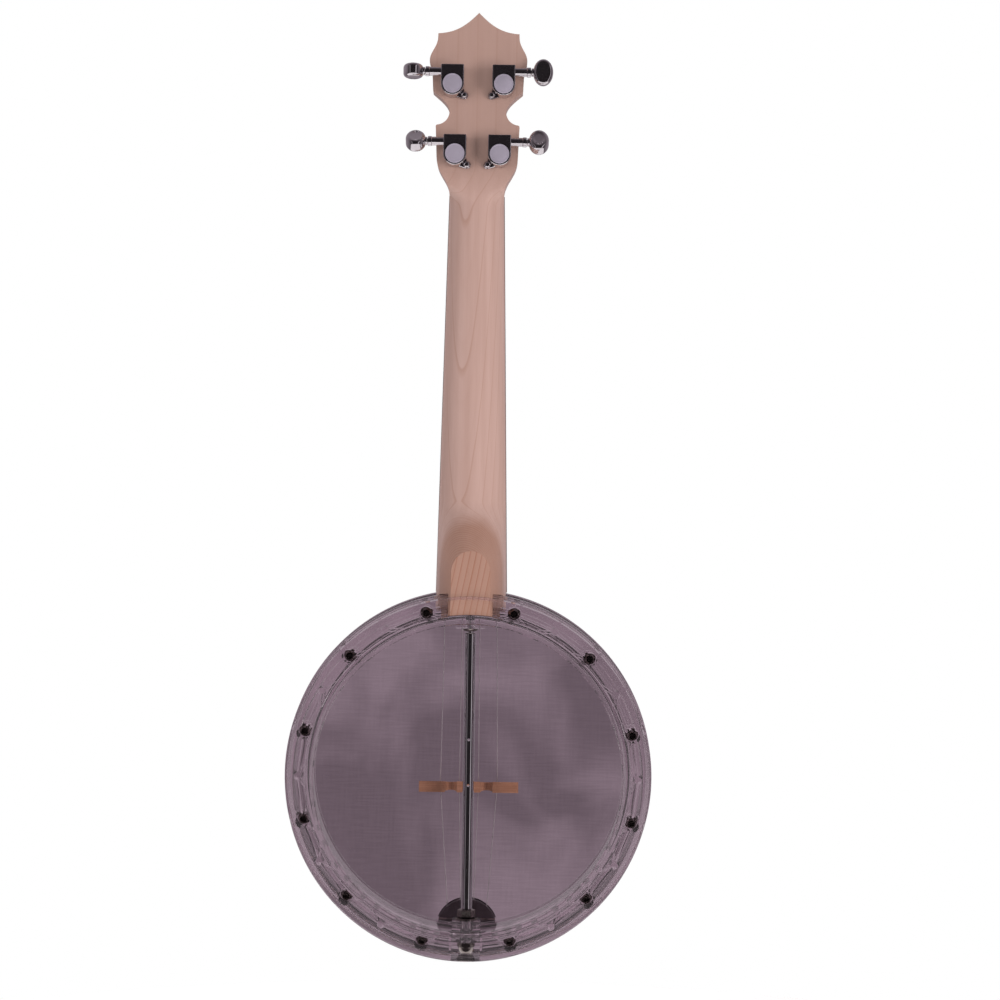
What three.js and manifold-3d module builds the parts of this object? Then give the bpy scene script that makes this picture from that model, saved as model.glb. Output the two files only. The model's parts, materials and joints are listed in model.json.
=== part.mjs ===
/**
 * A four-string banjo-ukulele with a clear moulded pot, in millimetres.
 *
 * Frame: +Z runs up the neck to the headstock and +Y points out of the instrument's back, so the
 * head and the strings face -Y. The origin is on the neck's front plane, at the playing edge of
 * the string nut, where the arms of a wall hanger catch the headstock's lower lobes.
 */
import * as THREE from 'three';
import { mergeVertices } from 'three/addons/utils/BufferGeometryUtils.js';
import Module from 'manifold-3d';

const wasm = await Module();
wasm.setup();

// ---------------------------------------------------------------- driving dimensions

const REST_GAP = 0.3; // between pieces that lie on each other
const POT_SIDES = 48;
const ROUND_SIDES = 14;
const SMALL_SIDES = 8; // holes, pegs and thin bars

const SCALE_LENGTH = 381; // nut to bridge
const BRIDGE_BELOW_CENTRE = 11;
const POT_Z = BRIDGE_BELOW_CENTRE - SCALE_LENGTH;

const NUT_HALF_WIDTH = 17.5;
const NECK_TAPER = 0.0201; // gain in half width per millimetre down the neck
const NECK_END_Z = -290; // of the blank, before the pot is cut out of it
const BOARD_THICKNESS = 4;
const BOARD_OVERHANG = 0.35; // each side of the neck
const HEAD_RECESS_Y = 7; // headstock face, behind the neck's front plane
const HEADSTOCK_BACK_Y = 20;
const HEEL_FACET_Y = 45;
const HEEL_HALF_WIDTH = 13.9;

const RIM = { inner: 99.4, outer: 102, front: 2.9, back: 48 };
const RIM_LIP = { inner: 96.3, front: 42 }; // the rim wall turns in at its back
const FLANGE = { front: 26, back: 28.5 };
const SKIRT = { inner: 108.5, outer: 113.7, foot: 115.6 };
const WEB = { thickness: 1.4, top: 43 };
const BOLT_CIRCLE = 106.4;
const BOLT_COUNT = 12;
const BOLT_STEP = (2 * Math.PI) / BOLT_COUNT;
const HEAD = { radius: 103.2, front: 2.2, back: 2.6 };
const FLESH_HOOP = { inner: 102.3, outer: 103.4, back: 8 };
const HOOP = { lip: 99, inner: 103.7, outer: 116.5, front: -0.5, back: 13 };
const NUT_SEAT_Y = 30; // top of the flange's bolt bosses

const ROD_Y = 20.8;
const ROD_RADIUS = 3.6;
const STUD_RADIUS = 2.4;
// Heights on the rod's axis, from the rim's pad outwards: strap, washer and domed nut.
const END_STACK = { pad: -472.2, strap: -472.5, strapEnd: -473.7, washer: -474, nut: -475.3 };

const STRING_RADIUS = 0.35;
const STRING_SIDES = 6;
const STRINGS = [
  { name: 'string_g', nut: -13, bridge: -18.5, tail: -12.6, tuner: 'g' },
  { name: 'string_c', nut: -4.35, bridge: -6.2, tail: -4.2, tuner: 'c' },
  { name: 'string_e', nut: 4.35, bridge: 6.2, tail: 4.2, tuner: 'e' },
  { name: 'string_a', nut: 13, bridge: 18.5, tail: 12.6, tuner: 'a' },
];
const SLOT = { width: 1.4, depth: 0.8 };
const NUT = { front: -5.2, length: 4.5 };
const BRIDGE = { halfWidth: 32, front: -10.2, foot: 1.9, footDepth: 7, topDepth: 2.4 };

const TAIL = { hingeZ: -468.6, hingeY: -4.2, pegZ: -461.6, outerPegZ: -462.6 };

// Each tuner stands on the headstock's back; turn is how far its button is turned at rest.
const TUNERS = [
  { name: 'g', side: -1, x: 14.1, z: 22.6, turn: 35 },
  { name: 'c', side: -1, x: 16.2, z: 66.8, turn: 0 },
  { name: 'e', side: 1, x: 16.2, z: 66.8, turn: 90 },
  { name: 'a', side: 1, x: 14.1, z: 22.6, turn: 50 },
];
const GEAR = { teeth: 14, pitchRadius: 5.6, root: 4.8, tip: 6.1, front: 4.5, back: 6.9 };
const WORM = { root: 1.9, crest: 3.1, halfLength: 4.4, y: 5.7, z: 8.2 };
const WORM_PITCH = (2 * Math.PI * GEAR.pitchRadius) / GEAR.teeth;
const SHAFT_RADIUS = 1.5;
const POST = { radius: 3, waist: 2.3, holeY: -19.5, end: -24.5 };
const POST_HOLE_RADIUS = 4.5;

// ---------------------------------------------------------------- solids and shapes

/** A closed three.js geometry as a solid that can be joined and cut. */
function solid(geometry) {
  const plain = geometry.clone();
  plain.deleteAttribute('normal');
  plain.deleteAttribute('uv');
  const merged = mergeVertices(plain, 1e-4);
  const corners = merged.index.array;
  const triangles = [];
  for (let i = 0; i < corners.length; i += 3) {
    const [a, b, c] = corners.slice(i, i + 3);
    if (a !== b && b !== c && c !== a) triangles.push(a, b, c);
  }
  const mesh = new wasm.Mesh({
    numProp: 3,
    vertProperties: merged.attributes.position.array,
    triVerts: Uint32Array.from(triangles),
  });
  return new wasm.Manifold(mesh);
}

/** The geometry of a solid. */
function geometryOf(body) {
  const mesh = body.getMesh();
  const geometry = new THREE.BufferGeometry();
  geometry.setAttribute('position', new THREE.BufferAttribute(mesh.vertProperties, 3));
  geometry.setIndex(new THREE.BufferAttribute(mesh.triVerts, 1));
  geometry.computeVertexNormals();
  return geometry;
}

const joined = (bodies) => bodies.reduce((whole, body) => whole.add(body));
const cutBy = (body, cutters) => cutters.reduce((rest, cutter) => rest.subtract(cutter), body);

/** The box between two corners. */
function block(low, high) {
  const size = high.map((value, axis) => value - low[axis]);
  const middle = high.map((value, axis) => (value + low[axis]) / 2);
  return solid(new THREE.BoxGeometry(...size).translate(...middle));
}

/** A cylinder along x, y or z, between two places on its axis; centre gives the other two. */
function cylinder(axis, radius, from, to, centre = [0, 0, 0], sides = ROUND_SIDES) {
  const geometry = new THREE.CylinderGeometry(radius, radius, to - from, sides);
  const place = [...centre];
  place['xyz'.indexOf(axis)] = (from + to) / 2;
  if (axis === 'x') geometry.rotateZ(-Math.PI / 2);
  if (axis === 'z') geometry.rotateX(Math.PI / 2);
  return solid(geometry.translate(...place));
}

/** A closed profile of [radius, height] points turned round the y axis. */
function turned(profile, sides = ROUND_SIDES) {
  const points = profile.map(([radius, height]) => new THREE.Vector2(radius, height));
  if (THREE.ShapeUtils.area(points) < 0) points.reverse();
  if (profile.every(([radius]) => radius > 0)) points.push(points[0]);
  return solid(new THREE.LatheGeometry(points, sides));
}

/** The same, turned round the z axis, for profiles of [radius, z]. */
function turnedOnZ(profile, centre) {
  return turned(profile).rotate([90, 0, 0]).translate(centre);
}

/** An outline drawn in x and z, given thickness in y. */
function plate(outline, yFrom, yTo, curveSegments = 6) {
  const options = { depth: yTo - yFrom, bevelEnabled: false, curveSegments };
  const geometry = new THREE.ExtrudeGeometry(outline, options);
  return solid(geometry.rotateX(Math.PI / 2).translate(0, yTo, 0));
}

/** An outline drawn in z and y, given thickness in x. */
function slice(outline, xFrom, xTo) {
  const geometry = new THREE.ExtrudeGeometry(outline, { depth: xTo - xFrom, bevelEnabled: false });
  return solid(geometry.rotateY(-Math.PI / 2).translate(xTo, 0, 0));
}

const shapeOf = (points) => new THREE.Shape(points.map(([u, v]) => new THREE.Vector2(u, v)));

/** A point of the pot at an angle from its top, towards +X. */
function potPoint(radius, angle, y) {
  return [radius * Math.sin(angle), y, POT_Z + radius * Math.cos(angle)];
}

const boltAngles = Array.from({ length: BOLT_COUNT }, (_, i) => (i + 0.5) * BOLT_STEP);
const spacerAngles = Array.from({ length: BOLT_COUNT }, (_, i) => i * BOLT_STEP);

// ---------------------------------------------------------------- the clear pot

/** A straight web between two points of the flange, standing up from it. */
function web([x0, , z0], [x1, , z1]) {
  const foot = FLANGE.back - 0.5;
  const length = Math.hypot(x1 - x0, z1 - z0);
  const geometry = new THREE.BoxGeometry(length, WEB.top - foot, WEB.thickness);
  geometry.rotateY(-Math.atan2(z1 - z0, x1 - x0));
  return solid(geometry.translate((x0 + x1) / 2, (foot + WEB.top) / 2, (z0 + z1) / 2));
}

/** The V of two webs that ties a boss or a post of the bolt circle to the rim wall. */
function braces(angle) {
  const SPREAD = 0.095;
  const onWall = (side) => potPoint(RIM.outer - 0.6, angle + side * SPREAD, 0);
  return [-1, 1].map((side) => web(potPoint(BOLT_CIRCLE - 1, angle, 0), onWall(side)));
}

/** The straight webs from each boss of the bolt circle to the posts either side of it. */
function chords(angle) {
  const onCircle = (at) => potPoint(BOLT_CIRCLE, at, 0);
  return [-1, 1].map((side) => web(onCircle(angle), onCircle(angle + (side * BOLT_STEP) / 2)));
}

/** The slot that the heel fills, which leaves a thin lip of the skirt across it. */
function heelSlot() {
  const half = HEEL_HALF_WIDTH + 0.4;
  const top = POT_Z + SKIRT.foot + 1;
  const slot = block([-half, FLANGE.front - 1, POT_Z + RIM.outer - 3], [half, RIM.back + 1, top]);
  const lip = turned([[111.9, 45.4], [120, 45.4], [120, 60], [111.9, 60]], POT_SIDES);
  const wall = cylinder('y', RIM.outer, 0, 60, [0, 0, POT_Z], POT_SIDES);
  return cutBy(slot, [lip.translate([0, 0, POT_Z]), wall]);
}

/** Rim wall, flange, skirt, bolt bosses, webs and the room for the end nut, moulded in one. */
function rimShell() {
  const EASE = 0.6;
  const PAD_FACE = 92.7; // of the two pads inside the wall that the rod's ends bear on
  const ROOM = { half: 9, top: END_STACK.pad };
  const profile = [
    [RIM.inner, RIM.front],
    [RIM.outer - EASE, RIM.front],
    [RIM.outer, RIM.front + EASE],
    [RIM.outer, FLANGE.front],
    [SKIRT.foot, FLANGE.front],
    [SKIRT.outer, RIM.back - EASE],
    [SKIRT.outer - EASE, RIM.back],
    [SKIRT.inner, RIM.back],
    [SKIRT.inner, FLANGE.back],
    [RIM.outer, FLANGE.back],
    [RIM.outer, RIM.back],
    [RIM_LIP.inner + EASE, RIM.back],
    [RIM_LIP.inner, RIM.back - EASE],
    [RIM_LIP.inner, RIM_LIP.front],
    [RIM.inner, RIM_LIP.front],
  ];
  const onCircle = (angle) => potPoint(BOLT_CIRCLE, angle, 0);
  const bosses = boltAngles.map((angle) =>
    cylinder('y', 5, FLANGE.front + 0.5, NUT_SEAT_Y, onCircle(angle), 10),
  );
  const posts = spacerAngles.map((angle) =>
    cylinder('y', 2.3, FLANGE.front + 0.5, 44, onCircle(angle), SMALL_SIDES),
  );
  const rodPads = [
    block([-ROOM.half, 14, ROOM.top], [ROOM.half, FLANGE.back, POT_Z - PAD_FACE]),
    block([-ROOM.half, 14, POT_Z + PAD_FACE], [ROOM.half, FLANGE.back, POT_Z + RIM.outer - 1.5]),
  ];
  const roomWalls = [-1, 1].map((side) => {
    const x = side * (ROOM.half + WEB.thickness / 2);
    return web([x, 0, POT_Z - RIM.outer + 1], [x, 0, POT_Z - SKIRT.inner - 1]);
  });
  const shell = turned(profile, POT_SIDES).translate([0, 0, POT_Z]);
  const webs = [...[...boltAngles, ...spacerAngles].flatMap(braces), ...boltAngles.flatMap(chords)];
  const whole = joined([shell, ...bosses, ...posts, ...rodPads, ...roomWalls, ...webs]);
  const pockets = boltAngles.map((angle) =>
    cylinder('y', 4.3, NUT_SEAT_Y, 50, onCircle(angle), 10),
  );
  const boltHoles = boltAngles.map((angle) =>
    cylinder('y', 2.3, 20, 40, onCircle(angle), SMALL_SIDES),
  );
  const rodHole = cylinder('z', 2.9, POT_Z - 105, POT_Z + 105, [0, ROD_Y, 0], 10);
  const room = block([-ROOM.half, 25, POT_Z - SKIRT.inner], [ROOM.half, 50, ROOM.top]);
  const roomMouth = block([-ROOM.half, 25, POT_Z - 120], [ROOM.half, 31, ROOM.top]);
  return cutBy(whole, [...pockets, ...boltHoles, rodHole, room, roomMouth, heelSlot()]);
}

/** The clear hoop that pulls the head down, with a blind boss for each bolt. */
function tensionHoop() {
  const profile = [
    [HOOP.lip, HOOP.front],
    [113, HOOP.front],
    [HOOP.outer, 3.5],
    [HOOP.outer, HOOP.back],
    [113.2, HOOP.back],
    [113.2, 4.5],
    [105, 4.5],
    [105, 11],
    [HOOP.inner, 11],
    [HOOP.inner, HEAD.front - REST_GAP],
    [HOOP.lip, HEAD.front - REST_GAP],
  ];
  const onCircle = (angle) => potPoint(BOLT_CIRCLE, angle, 0);
  const hoop = turned(profile, POT_SIDES).translate([0, 0, POT_Z]);
  const bosses = boltAngles.map((angle) => cylinder('y', 4, 4, HOOP.back, onCircle(angle), 10));
  const holes = boltAngles.map((angle) =>
    cylinder('y', 2.3, 5, 14, onCircle(angle), SMALL_SIDES),
  );
  const headSpace = cylinder('y', HOOP.inner, 3, 20, [0, 0, POT_Z], POT_SIDES);
  return cutBy(joined([hoop, ...bosses]), [...holes, headSpace]);
}

function headFilm() {
  const profile = [
    [0, HEAD.front],
    [HEAD.radius, HEAD.front],
    [HEAD.radius, HEAD.back],
    [0, HEAD.back],
  ];
  return turned(profile, POT_SIDES).translate([0, 0, POT_Z]);
}

function fleshHoop() {
  const front = HEAD.back + REST_GAP;
  const { inner, outer, back } = FLESH_HOOP;
  const profile = [[inner, front], [outer, front], [outer, back], [inner, back]];
  return turned(profile, POT_SIDES).translate([0, 0, POT_Z]);
}

/** A long screw with a flanged socket head, from the flange into the tension hoop. */
function hoopBolt(angle) {
  const seat = NUT_SEAT_Y + REST_GAP;
  const HEAD_TOP = 39.5;
  const flange = cylinder('y', 3.6, seat, seat + 1.5);
  const hexagon = cylinder('y', 3.3, seat + 1, HEAD_TOP, [0, 0, 0], 6);
  const shank = cylinder('y', 1.9, 5.5, seat + 1, [0, 0, 0], SMALL_SIDES);
  const socket = cylinder('y', 1.9, HEAD_TOP - 3, HEAD_TOP + 1, [0, 0, 0], 6);
  const bolt = joined([flange, hexagon, shank]).subtract(socket);
  return bolt.rotate([0, THREE.MathUtils.radToDeg(angle), 0]).translate(potPoint(BOLT_CIRCLE, angle, 0));
}

// ---------------------------------------------------------------- coordinator rod

/** Rod with a stud at each end: one screws into the heel, one takes the end nuts. */
function coordinatorRod() {
  const profile = [
    [0, -482.9],
    [STUD_RADIUS, -482.1],
    [STUD_RADIUS, -455.8],
    [ROD_RADIUS, -455.8],
    [ROD_RADIUS, -280.4],
    [STUD_RADIUS, -279.6],
    [STUD_RADIUS, -259],
    [0, -258],
  ];
  const rod = turnedOnZ(profile, [0, ROD_Y, 0]);
  const crossHole = (z) => cylinder('y', 0.9, 10, 30, [0, 0, z], 6);
  return cutBy(rod, [crossHole(-348), crossHole(-377)]);
}

function washer(radius, zFrom, zTo, topRadius = radius) {
  const bore = STUD_RADIUS + REST_GAP;
  const profile = [[bore, zFrom], [radius, zFrom], [topRadius, zTo], [bore, zTo]];
  return turnedOnZ(profile, [0, ROD_Y, 0]);
}

function hexNut() {
  const nut = cylinder('z', 5.77, -460.9, -456.1, [0, ROD_Y, 0], 6);
  return nut.subtract(cylinder('z', STUD_RADIUS + REST_GAP, -470, -450, [0, ROD_Y, 0]));
}

/** The domed nut that draws the tailpiece bracket and the rod up to the rim. */
function acornNut() {
  const seat = END_STACK.nut;
  const hexEnd = seat - 4.6;
  const dome = [
    [0, seat - 9.6],
    [2.4, seat - 9.2],
    [4.1, seat - 7.5],
    [4.9, hexEnd],
    [4.9, hexEnd + 1],
    [0, hexEnd + 1],
  ];
  const base = cylinder('z', 5.6, hexEnd, seat, [0, ROD_Y, 0], 6);
  const bore = cylinder('z', STUD_RADIUS + REST_GAP, seat - 8.3, seat + 1, [0, ROD_Y, 0], 10);
  return base.add(turnedOnZ(dome, [0, ROD_Y, 0])).subtract(bore);
}

// ---------------------------------------------------------------- tailpiece

/** The half-moon outline shared by the tailpiece's base and its lid. */
function halfMoon(grow, straightZ) {
  const arcRadius = 19.6 + grow;
  const arcCentreZ = -473.3;
  const reach = Math.acos((straightZ - arcCentreZ) / arcRadius);
  const outline = new THREE.Shape();
  outline.absarc(0, arcCentreZ, arcRadius, Math.PI / 2 - reach, Math.PI / 2 + reach);
  return outline;
}

/** Bracket that wraps the hoop's edge, plate with string pegs, and the hinge's fixed pin. */
function tailpieceBase() {
  const STRAP_HALF = 4;
  const { strap, strapEnd } = END_STACK;
  const bracket = slice(
    shapeOf([
      [strap, 13.3],
      [-487.2, 13.3],
      [-487.2, -1],
      [-466, -1],
      [-466, -2.2],
      [-488.4, -2.2],
      [-488.4, 14.5],
      [strapEnd, 14.5],
      [strapEnd, 26.6],
      [strap, 26.6],
    ]),
    -STRAP_HALF,
    STRAP_HALF,
  );
  const moon = plate(halfMoon(0, -465.9), -2.2, -1, 10);
  const axis = [0, TAIL.hingeY, TAIL.hingeZ];
  const knuckle = cylinder('x', 2.3, -6, 6, axis);
  const saddle = block([-6, -3, -470.5], [6, -1, -465.5]);
  const pin = cylinder('x', 1, -18.2, 18.2, axis, SMALL_SIDES);
  const pegs = STRINGS.map(({ tail }, i) => {
    const z = i === 0 || i === 3 ? TAIL.outerPegZ : TAIL.pegZ;
    return cylinder('y', 0.9, -4.9, -2, [tail, 0, z], SMALL_SIDES);
  });
  const stud = cylinder('z', STUD_RADIUS + REST_GAP, -480, -470, [0, ROD_Y, 0], 10);
  return joined([bracket, moon, knuckle, saddle, pin, ...pegs]).subtract(stud);
}

/** The lid, hinged on the base's pin, that covers the string pegs. */
function tailpieceCover() {
  const axis = [0, TAIL.hingeY, TAIL.hingeZ];
  const lid = plate(halfMoon(0.6, -465.9), -6.5, -5.4, 10);
  const arm = (side) => {
    const [near, far] = side < 0 ? [-18.3, -6.4] : [6.4, 18.3];
    const barrel = cylinder('x', 2.3, near, far, axis);
    return barrel.add(block([near, -6.5, TAIL.hingeZ], [far, -5.4, -465]));
  };
  const bore = cylinder('x', 1.35, -20, 20, axis, SMALL_SIDES);
  return joined([lid, arm(-1), arm(1)]).subtract(bore);
}

// ---------------------------------------------------------------- neck

const neckHalfWidth = (z) => NUT_HALF_WIDTH - NECK_TAPER * Math.min(z, 0);

/** Right-hand edge of the headstock, from the nut to the point at its top. */
function headstockEdge() {
  const edge = new THREE.Path();
  edge.moveTo(NUT_HALF_WIDTH, -1);
  edge.bezierCurveTo(17.9, 9, 25.4, 9.5, 25.9, 22);
  edge.lineTo(26.6, 40.2);
  edge.quadraticCurveTo(26.9, 42.3, 25.6, 42.4);
  edge.bezierCurveTo(21.5, 42.9, 18.3, 46, 18, 50.5);
  edge.bezierCurveTo(18.3, 55.5, 23.5, 59.3, 28.6, 63.6);
  edge.lineTo(29.1, 74);
  edge.bezierCurveTo(29.1, 78, 31, 79, 31, 83.2);
  edge.bezierCurveTo(31, 88.5, 26.3, 91.5, 25.9, 97.5);
  edge.lineTo(25.8, 100.4);
  edge.bezierCurveTo(14, 101, 7.5, 106, 0, 113.7);
  return edge.getPoints(5);
}

/** Neck and headstock seen from the front, as one outline. */
function neckOutline() {
  const right = [new THREE.Vector2(neckHalfWidth(NECK_END_Z), NECK_END_Z), ...headstockEdge()];
  const left = right.slice(0, -1).map((point) => new THREE.Vector2(-point.x, point.y));
  return new THREE.Shape([...right, ...left.reverse()]);
}

/** Half width, depth and squareness of the neck's back, at a height z. */
function neckSection(z) {
  const HEEL = { start: -196, length: 46, depth: 52.5 };
  const swell = THREE.MathUtils.smoothstep(HEEL.start - z, 0, HEEL.length);
  const shaft = 15.8 + 2.7 * THREE.MathUtils.clamp(-z / 190, 0, 1);
  const toHead = THREE.MathUtils.smoothstep(z, -10, 17);
  const depth = THREE.MathUtils.lerp(shaft, HEADSTOCK_BACK_Y, toHead);
  return {
    z,
    half: neckHalfWidth(z) + 0.15 + 24 * toHead ** 2,
    depth: THREE.MathUtils.lerp(depth, HEEL.depth, swell),
    power: 2.1 + 18 * toHead ** 2,
  };
}

/** One ring of the carved blank: a flat front and a superellipse round the back. */
function sectionRing({ z, half, depth, power }) {
  const STEPS = 14;
  const ring = [new THREE.Vector3(-half, -2, z), new THREE.Vector3(half, -2, z)];
  for (let i = 0; i <= STEPS; i += 1) {
    const angle = (Math.PI * i) / STEPS;
    const x = Math.sign(Math.cos(angle)) * Math.abs(Math.cos(angle)) ** (2 / power);
    ring.push(new THREE.Vector3(half * x, depth * Math.sin(angle) ** (2 / power), z));
  }
  return ring;
}

/** A closed skin over rings with equal numbers of points, each ring convex. */
function loft(rings) {
  const count = rings[0].length;
  const triangles = [];
  for (let r = 0; r < rings.length - 1; r += 1) {
    for (let i = 0; i < count; i += 1) {
      const a = r * count + i;
      const b = r * count + ((i + 1) % count);
      triangles.push(a, b, b + count, a, b + count, a + count);
    }
  }
  const last = (rings.length - 1) * count;
  for (let i = 1; i < count - 1; i += 1) {
    triangles.push(0, i + 1, i, last, last + i, last + i + 1);
  }
  const geometry = new THREE.BufferGeometry().setFromPoints(rings.flat());
  geometry.setIndex(triangles);
  return solid(geometry);
}

/** The room that the pot takes out of the neck's lower end. */
function potRoom() {
  const disc = (radius, from, to) => cylinder('y', radius, from, to, [0, 0, POT_Z], POT_SIDES);
  const behind = HOOP.back + REST_GAP;
  const tenon = (half, from, to) => block([-half, from, POT_Z], [half, to, 0]);
  return [
    disc(HOOP.outer + 0.5, -10, behind),
    disc(RIM.outer + REST_GAP, behind - 1, 60),
    disc(106.5, behind - 1, FLANGE.front).subtract(tenon(18.5, 0, 60)),
    disc(SKIRT.foot + 0.4, FLANGE.front - 0.4, 60).subtract(tenon(HEEL_HALF_WIDTH, 0, 60)),
  ];
}

/** Front recess of the headstock, which ramps down from the nut. */
function headRecess() {
  const outline = [
    [NUT.length + 0.6, -5],
    [NUT.length + 0.6, 1],
    [12, HEAD_RECESS_Y],
    [130, HEAD_RECESS_Y],
    [130, -5],
  ];
  return slice(shapeOf(outline), -50, 50);
}

function neck() {
  const heights = [NECK_END_Z, -265];
  for (let z = -242; z <= -196; z += 5.75) heights.push(z);
  heights.push(-100, -10, -5, 0, 4, 8, 12, 17, 118);
  const carved = loft(heights.map((z) => sectionRing(neckSection(z))));
  const blank = plate(neckOutline(), 0, 60, 7).intersect(carved);
  const facet = block([-40, HEEL_FACET_Y, -300], [40, 80, -150]);
  const rodHole = cylinder('z', STUD_RADIUS + REST_GAP, -280, -256, [0, ROD_Y, 0], 10);
  const tunerHoles = TUNERS.flatMap(({ side, x, z }) => [
    cylinder('y', POST_HOLE_RADIUS, 0, 30, [side * x, 0, z]),
    cylinder('y', 1.2, 12, 30, [side * (x - 7.5), 0, z - 5.8], SMALL_SIDES),
  ]);
  return cutBy(blank, [facet, headRecess(), rodHole, ...potRoom(), ...tunerHoles]);
}

function fingerboard() {
  const top = -REST_GAP;
  const end = POT_Z + HOOP.outer - 10;
  const half = (z) => neckHalfWidth(z) + BOARD_OVERHANG;
  const outline = shapeOf([[-half(end), end], [half(end), end], [half(top), top], [-half(top), top]]);
  const board = plate(outline, -BOARD_THICKNESS, -REST_GAP);
  return board.subtract(cylinder('y', HOOP.outer + 0.5, -10, 10, [0, 0, POT_Z], POT_SIDES));
}

const slotsAt = (places, front) =>
  places.map((x) =>
    block([x - SLOT.width / 2, front - 1, -400], [x + SLOT.width / 2, front + SLOT.depth, 20]),
  );

function stringNut() {
  const bar = block([-NUT_HALF_WIDTH, NUT.front, 0], [NUT_HALF_WIDTH, -REST_GAP, NUT.length]);
  return cutBy(bar, slotsAt(STRINGS.map((string) => string.nut), NUT.front));
}

/** Three-footed bridge that thins towards its top. */
function bridge() {
  const { halfWidth, front, foot, footDepth, topDepth } = BRIDGE;
  const ARCH = { inner: 7.5, outer: 15.5, height: 5 };
  const back = foot - front;
  const outline = new THREE.Shape();
  outline.moveTo(-halfWidth, 0);
  for (const side of [-1, 1]) {
    const [from, to] = side < 0 ? [-ARCH.outer, -ARCH.inner] : [ARCH.inner, ARCH.outer];
    outline.lineTo(from, 0);
    outline.bezierCurveTo(from, ARCH.height * 1.3, to, ARCH.height * 1.3, to, 0);
  }
  outline.lineTo(halfWidth, 0);
  outline.lineTo(halfWidth, 3);
  outline.quadraticCurveTo(25, 5, 23, back);
  outline.lineTo(-23, back);
  outline.quadraticCurveTo(-25, 5, -halfWidth, 3);
  const options = { depth: footDepth, bevelEnabled: false, curveSegments: 6 };
  const face = solid(new THREE.ExtrudeGeometry(outline, options).translate(0, 0, -footDepth / 2));
  const wedge = slice(
    shapeOf([
      [-footDepth / 2, foot],
      [footDepth / 2, foot],
      [topDepth / 2, front],
      [-topDepth / 2, front],
    ]),
    -40,
    40,
  );
  const standing = face.rotate([180, 0, 0]).translate([0, foot, 0]);
  const blank = standing.intersect(wedge).translate([0, 0, -SCALE_LENGTH]);
  return cutBy(blank, slotsAt(STRINGS.map((string) => string.bridge), front));
}

// ---------------------------------------------------------------- strings

/** One straight run of a string, a little longer than its two points so that runs join. */
function stringRun(from, to) {
  const JOIN = 0.1;
  const start = new THREE.Vector3(...from);
  const along = new THREE.Vector3(...to).sub(start);
  const up = new THREE.Vector3(0, 1, 0);
  const turn = new THREE.Quaternion().setFromUnitVectors(up, along.clone().normalize());
  const size = [STRING_RADIUS, STRING_RADIUS, along.length() + 2 * JOIN, STRING_SIDES];
  const geometry = new THREE.CylinderGeometry(...size).applyQuaternion(turn);
  return solid(geometry.translate(...start.addScaledVector(along, 0.5).toArray()));
}

/** One taut string: peg, bridge slot, nut slot, and the inner side of its tuner's post. */
function stringAlong({ nut, bridge: onBridge, tail, tuner }, outer) {
  const { side, x, z } = TUNERS.find(({ name }) => name === tuner);
  const lift = SLOT.depth - REST_GAP - STRING_RADIUS;
  const pegZ = outer ? TAIL.outerPegZ : TAIL.pegZ;
  const post = POST.waist + STRING_RADIUS + REST_GAP;
  const points = [
    [tail, -4, pegZ + 0.9 + REST_GAP],
    [onBridge, BRIDGE.front + lift, -SCALE_LENGTH],
    [nut, NUT.front + lift, 0],
    [nut, NUT.front + lift, NUT.length],
    [side * (x - post), HEADSTOCK_BACK_Y + POST.holeY, z],
  ];
  return joined(points.slice(1).map((point, i) => stringRun(points[i], point)));
}

// ---------------------------------------------------------------- tuners

// Each piece is drawn round its post's axis, with +X towards the button and y = 0 on the wood.

/** Sealed gear case with its screw ear and the sleeve of the worm shaft. */
function tunerHousing() {
  const CASE = { half: 7.3, top: 12.2, back: 10.5 };
  const outline = new THREE.Shape();
  outline.moveTo(CASE.half, 0);
  outline.lineTo(CASE.half, CASE.top);
  outline.lineTo(-CASE.half, CASE.top);
  outline.lineTo(-CASE.half, 0);
  outline.absarc(0, 0, CASE.half, Math.PI, 2 * Math.PI);
  const shell = plate(outline, REST_GAP, CASE.back, 7);
  const ear = cylinder('y', 2.5, REST_GAP, 2.1, [-7.5, 0, -5.8], 12);
  const earArm = block([-7.5, REST_GAP, -5.6], [-2, 2.1, 0]);
  const axis = [0, WORM.y, WORM.z];
  const cone = new THREE.CylinderGeometry(2.7, 3.1, 10.4, ROUND_SIDES).rotateZ(-Math.PI / 2);
  const sleeve = solid(cone.translate(12, WORM.y, WORM.z));
  const room = [
    cylinder('y', 6.7, 3, 20, [0, 0, 0], 16),
    cylinder('x', 3.4, -6.2, 6.2, axis),
    cylinder('x', SHAFT_RADIUS + 0.25, 5, 30, axis, 12),
    cylinder('y', POST.radius + REST_GAP, -1, 4, [0, 0, 0]),
    cylinder('y', 1.2, -1, 4, [-7.5, 0, -5.8], SMALL_SIDES),
  ];
  return cutBy(joined([shell, ear, earArm, sleeve]), room);
}

function tunerCap() {
  return turned([[0, 8.9], [6.2, 8.9], [6.2, 10.7], [5.9, 11], [0, 11]], 18);
}

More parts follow.
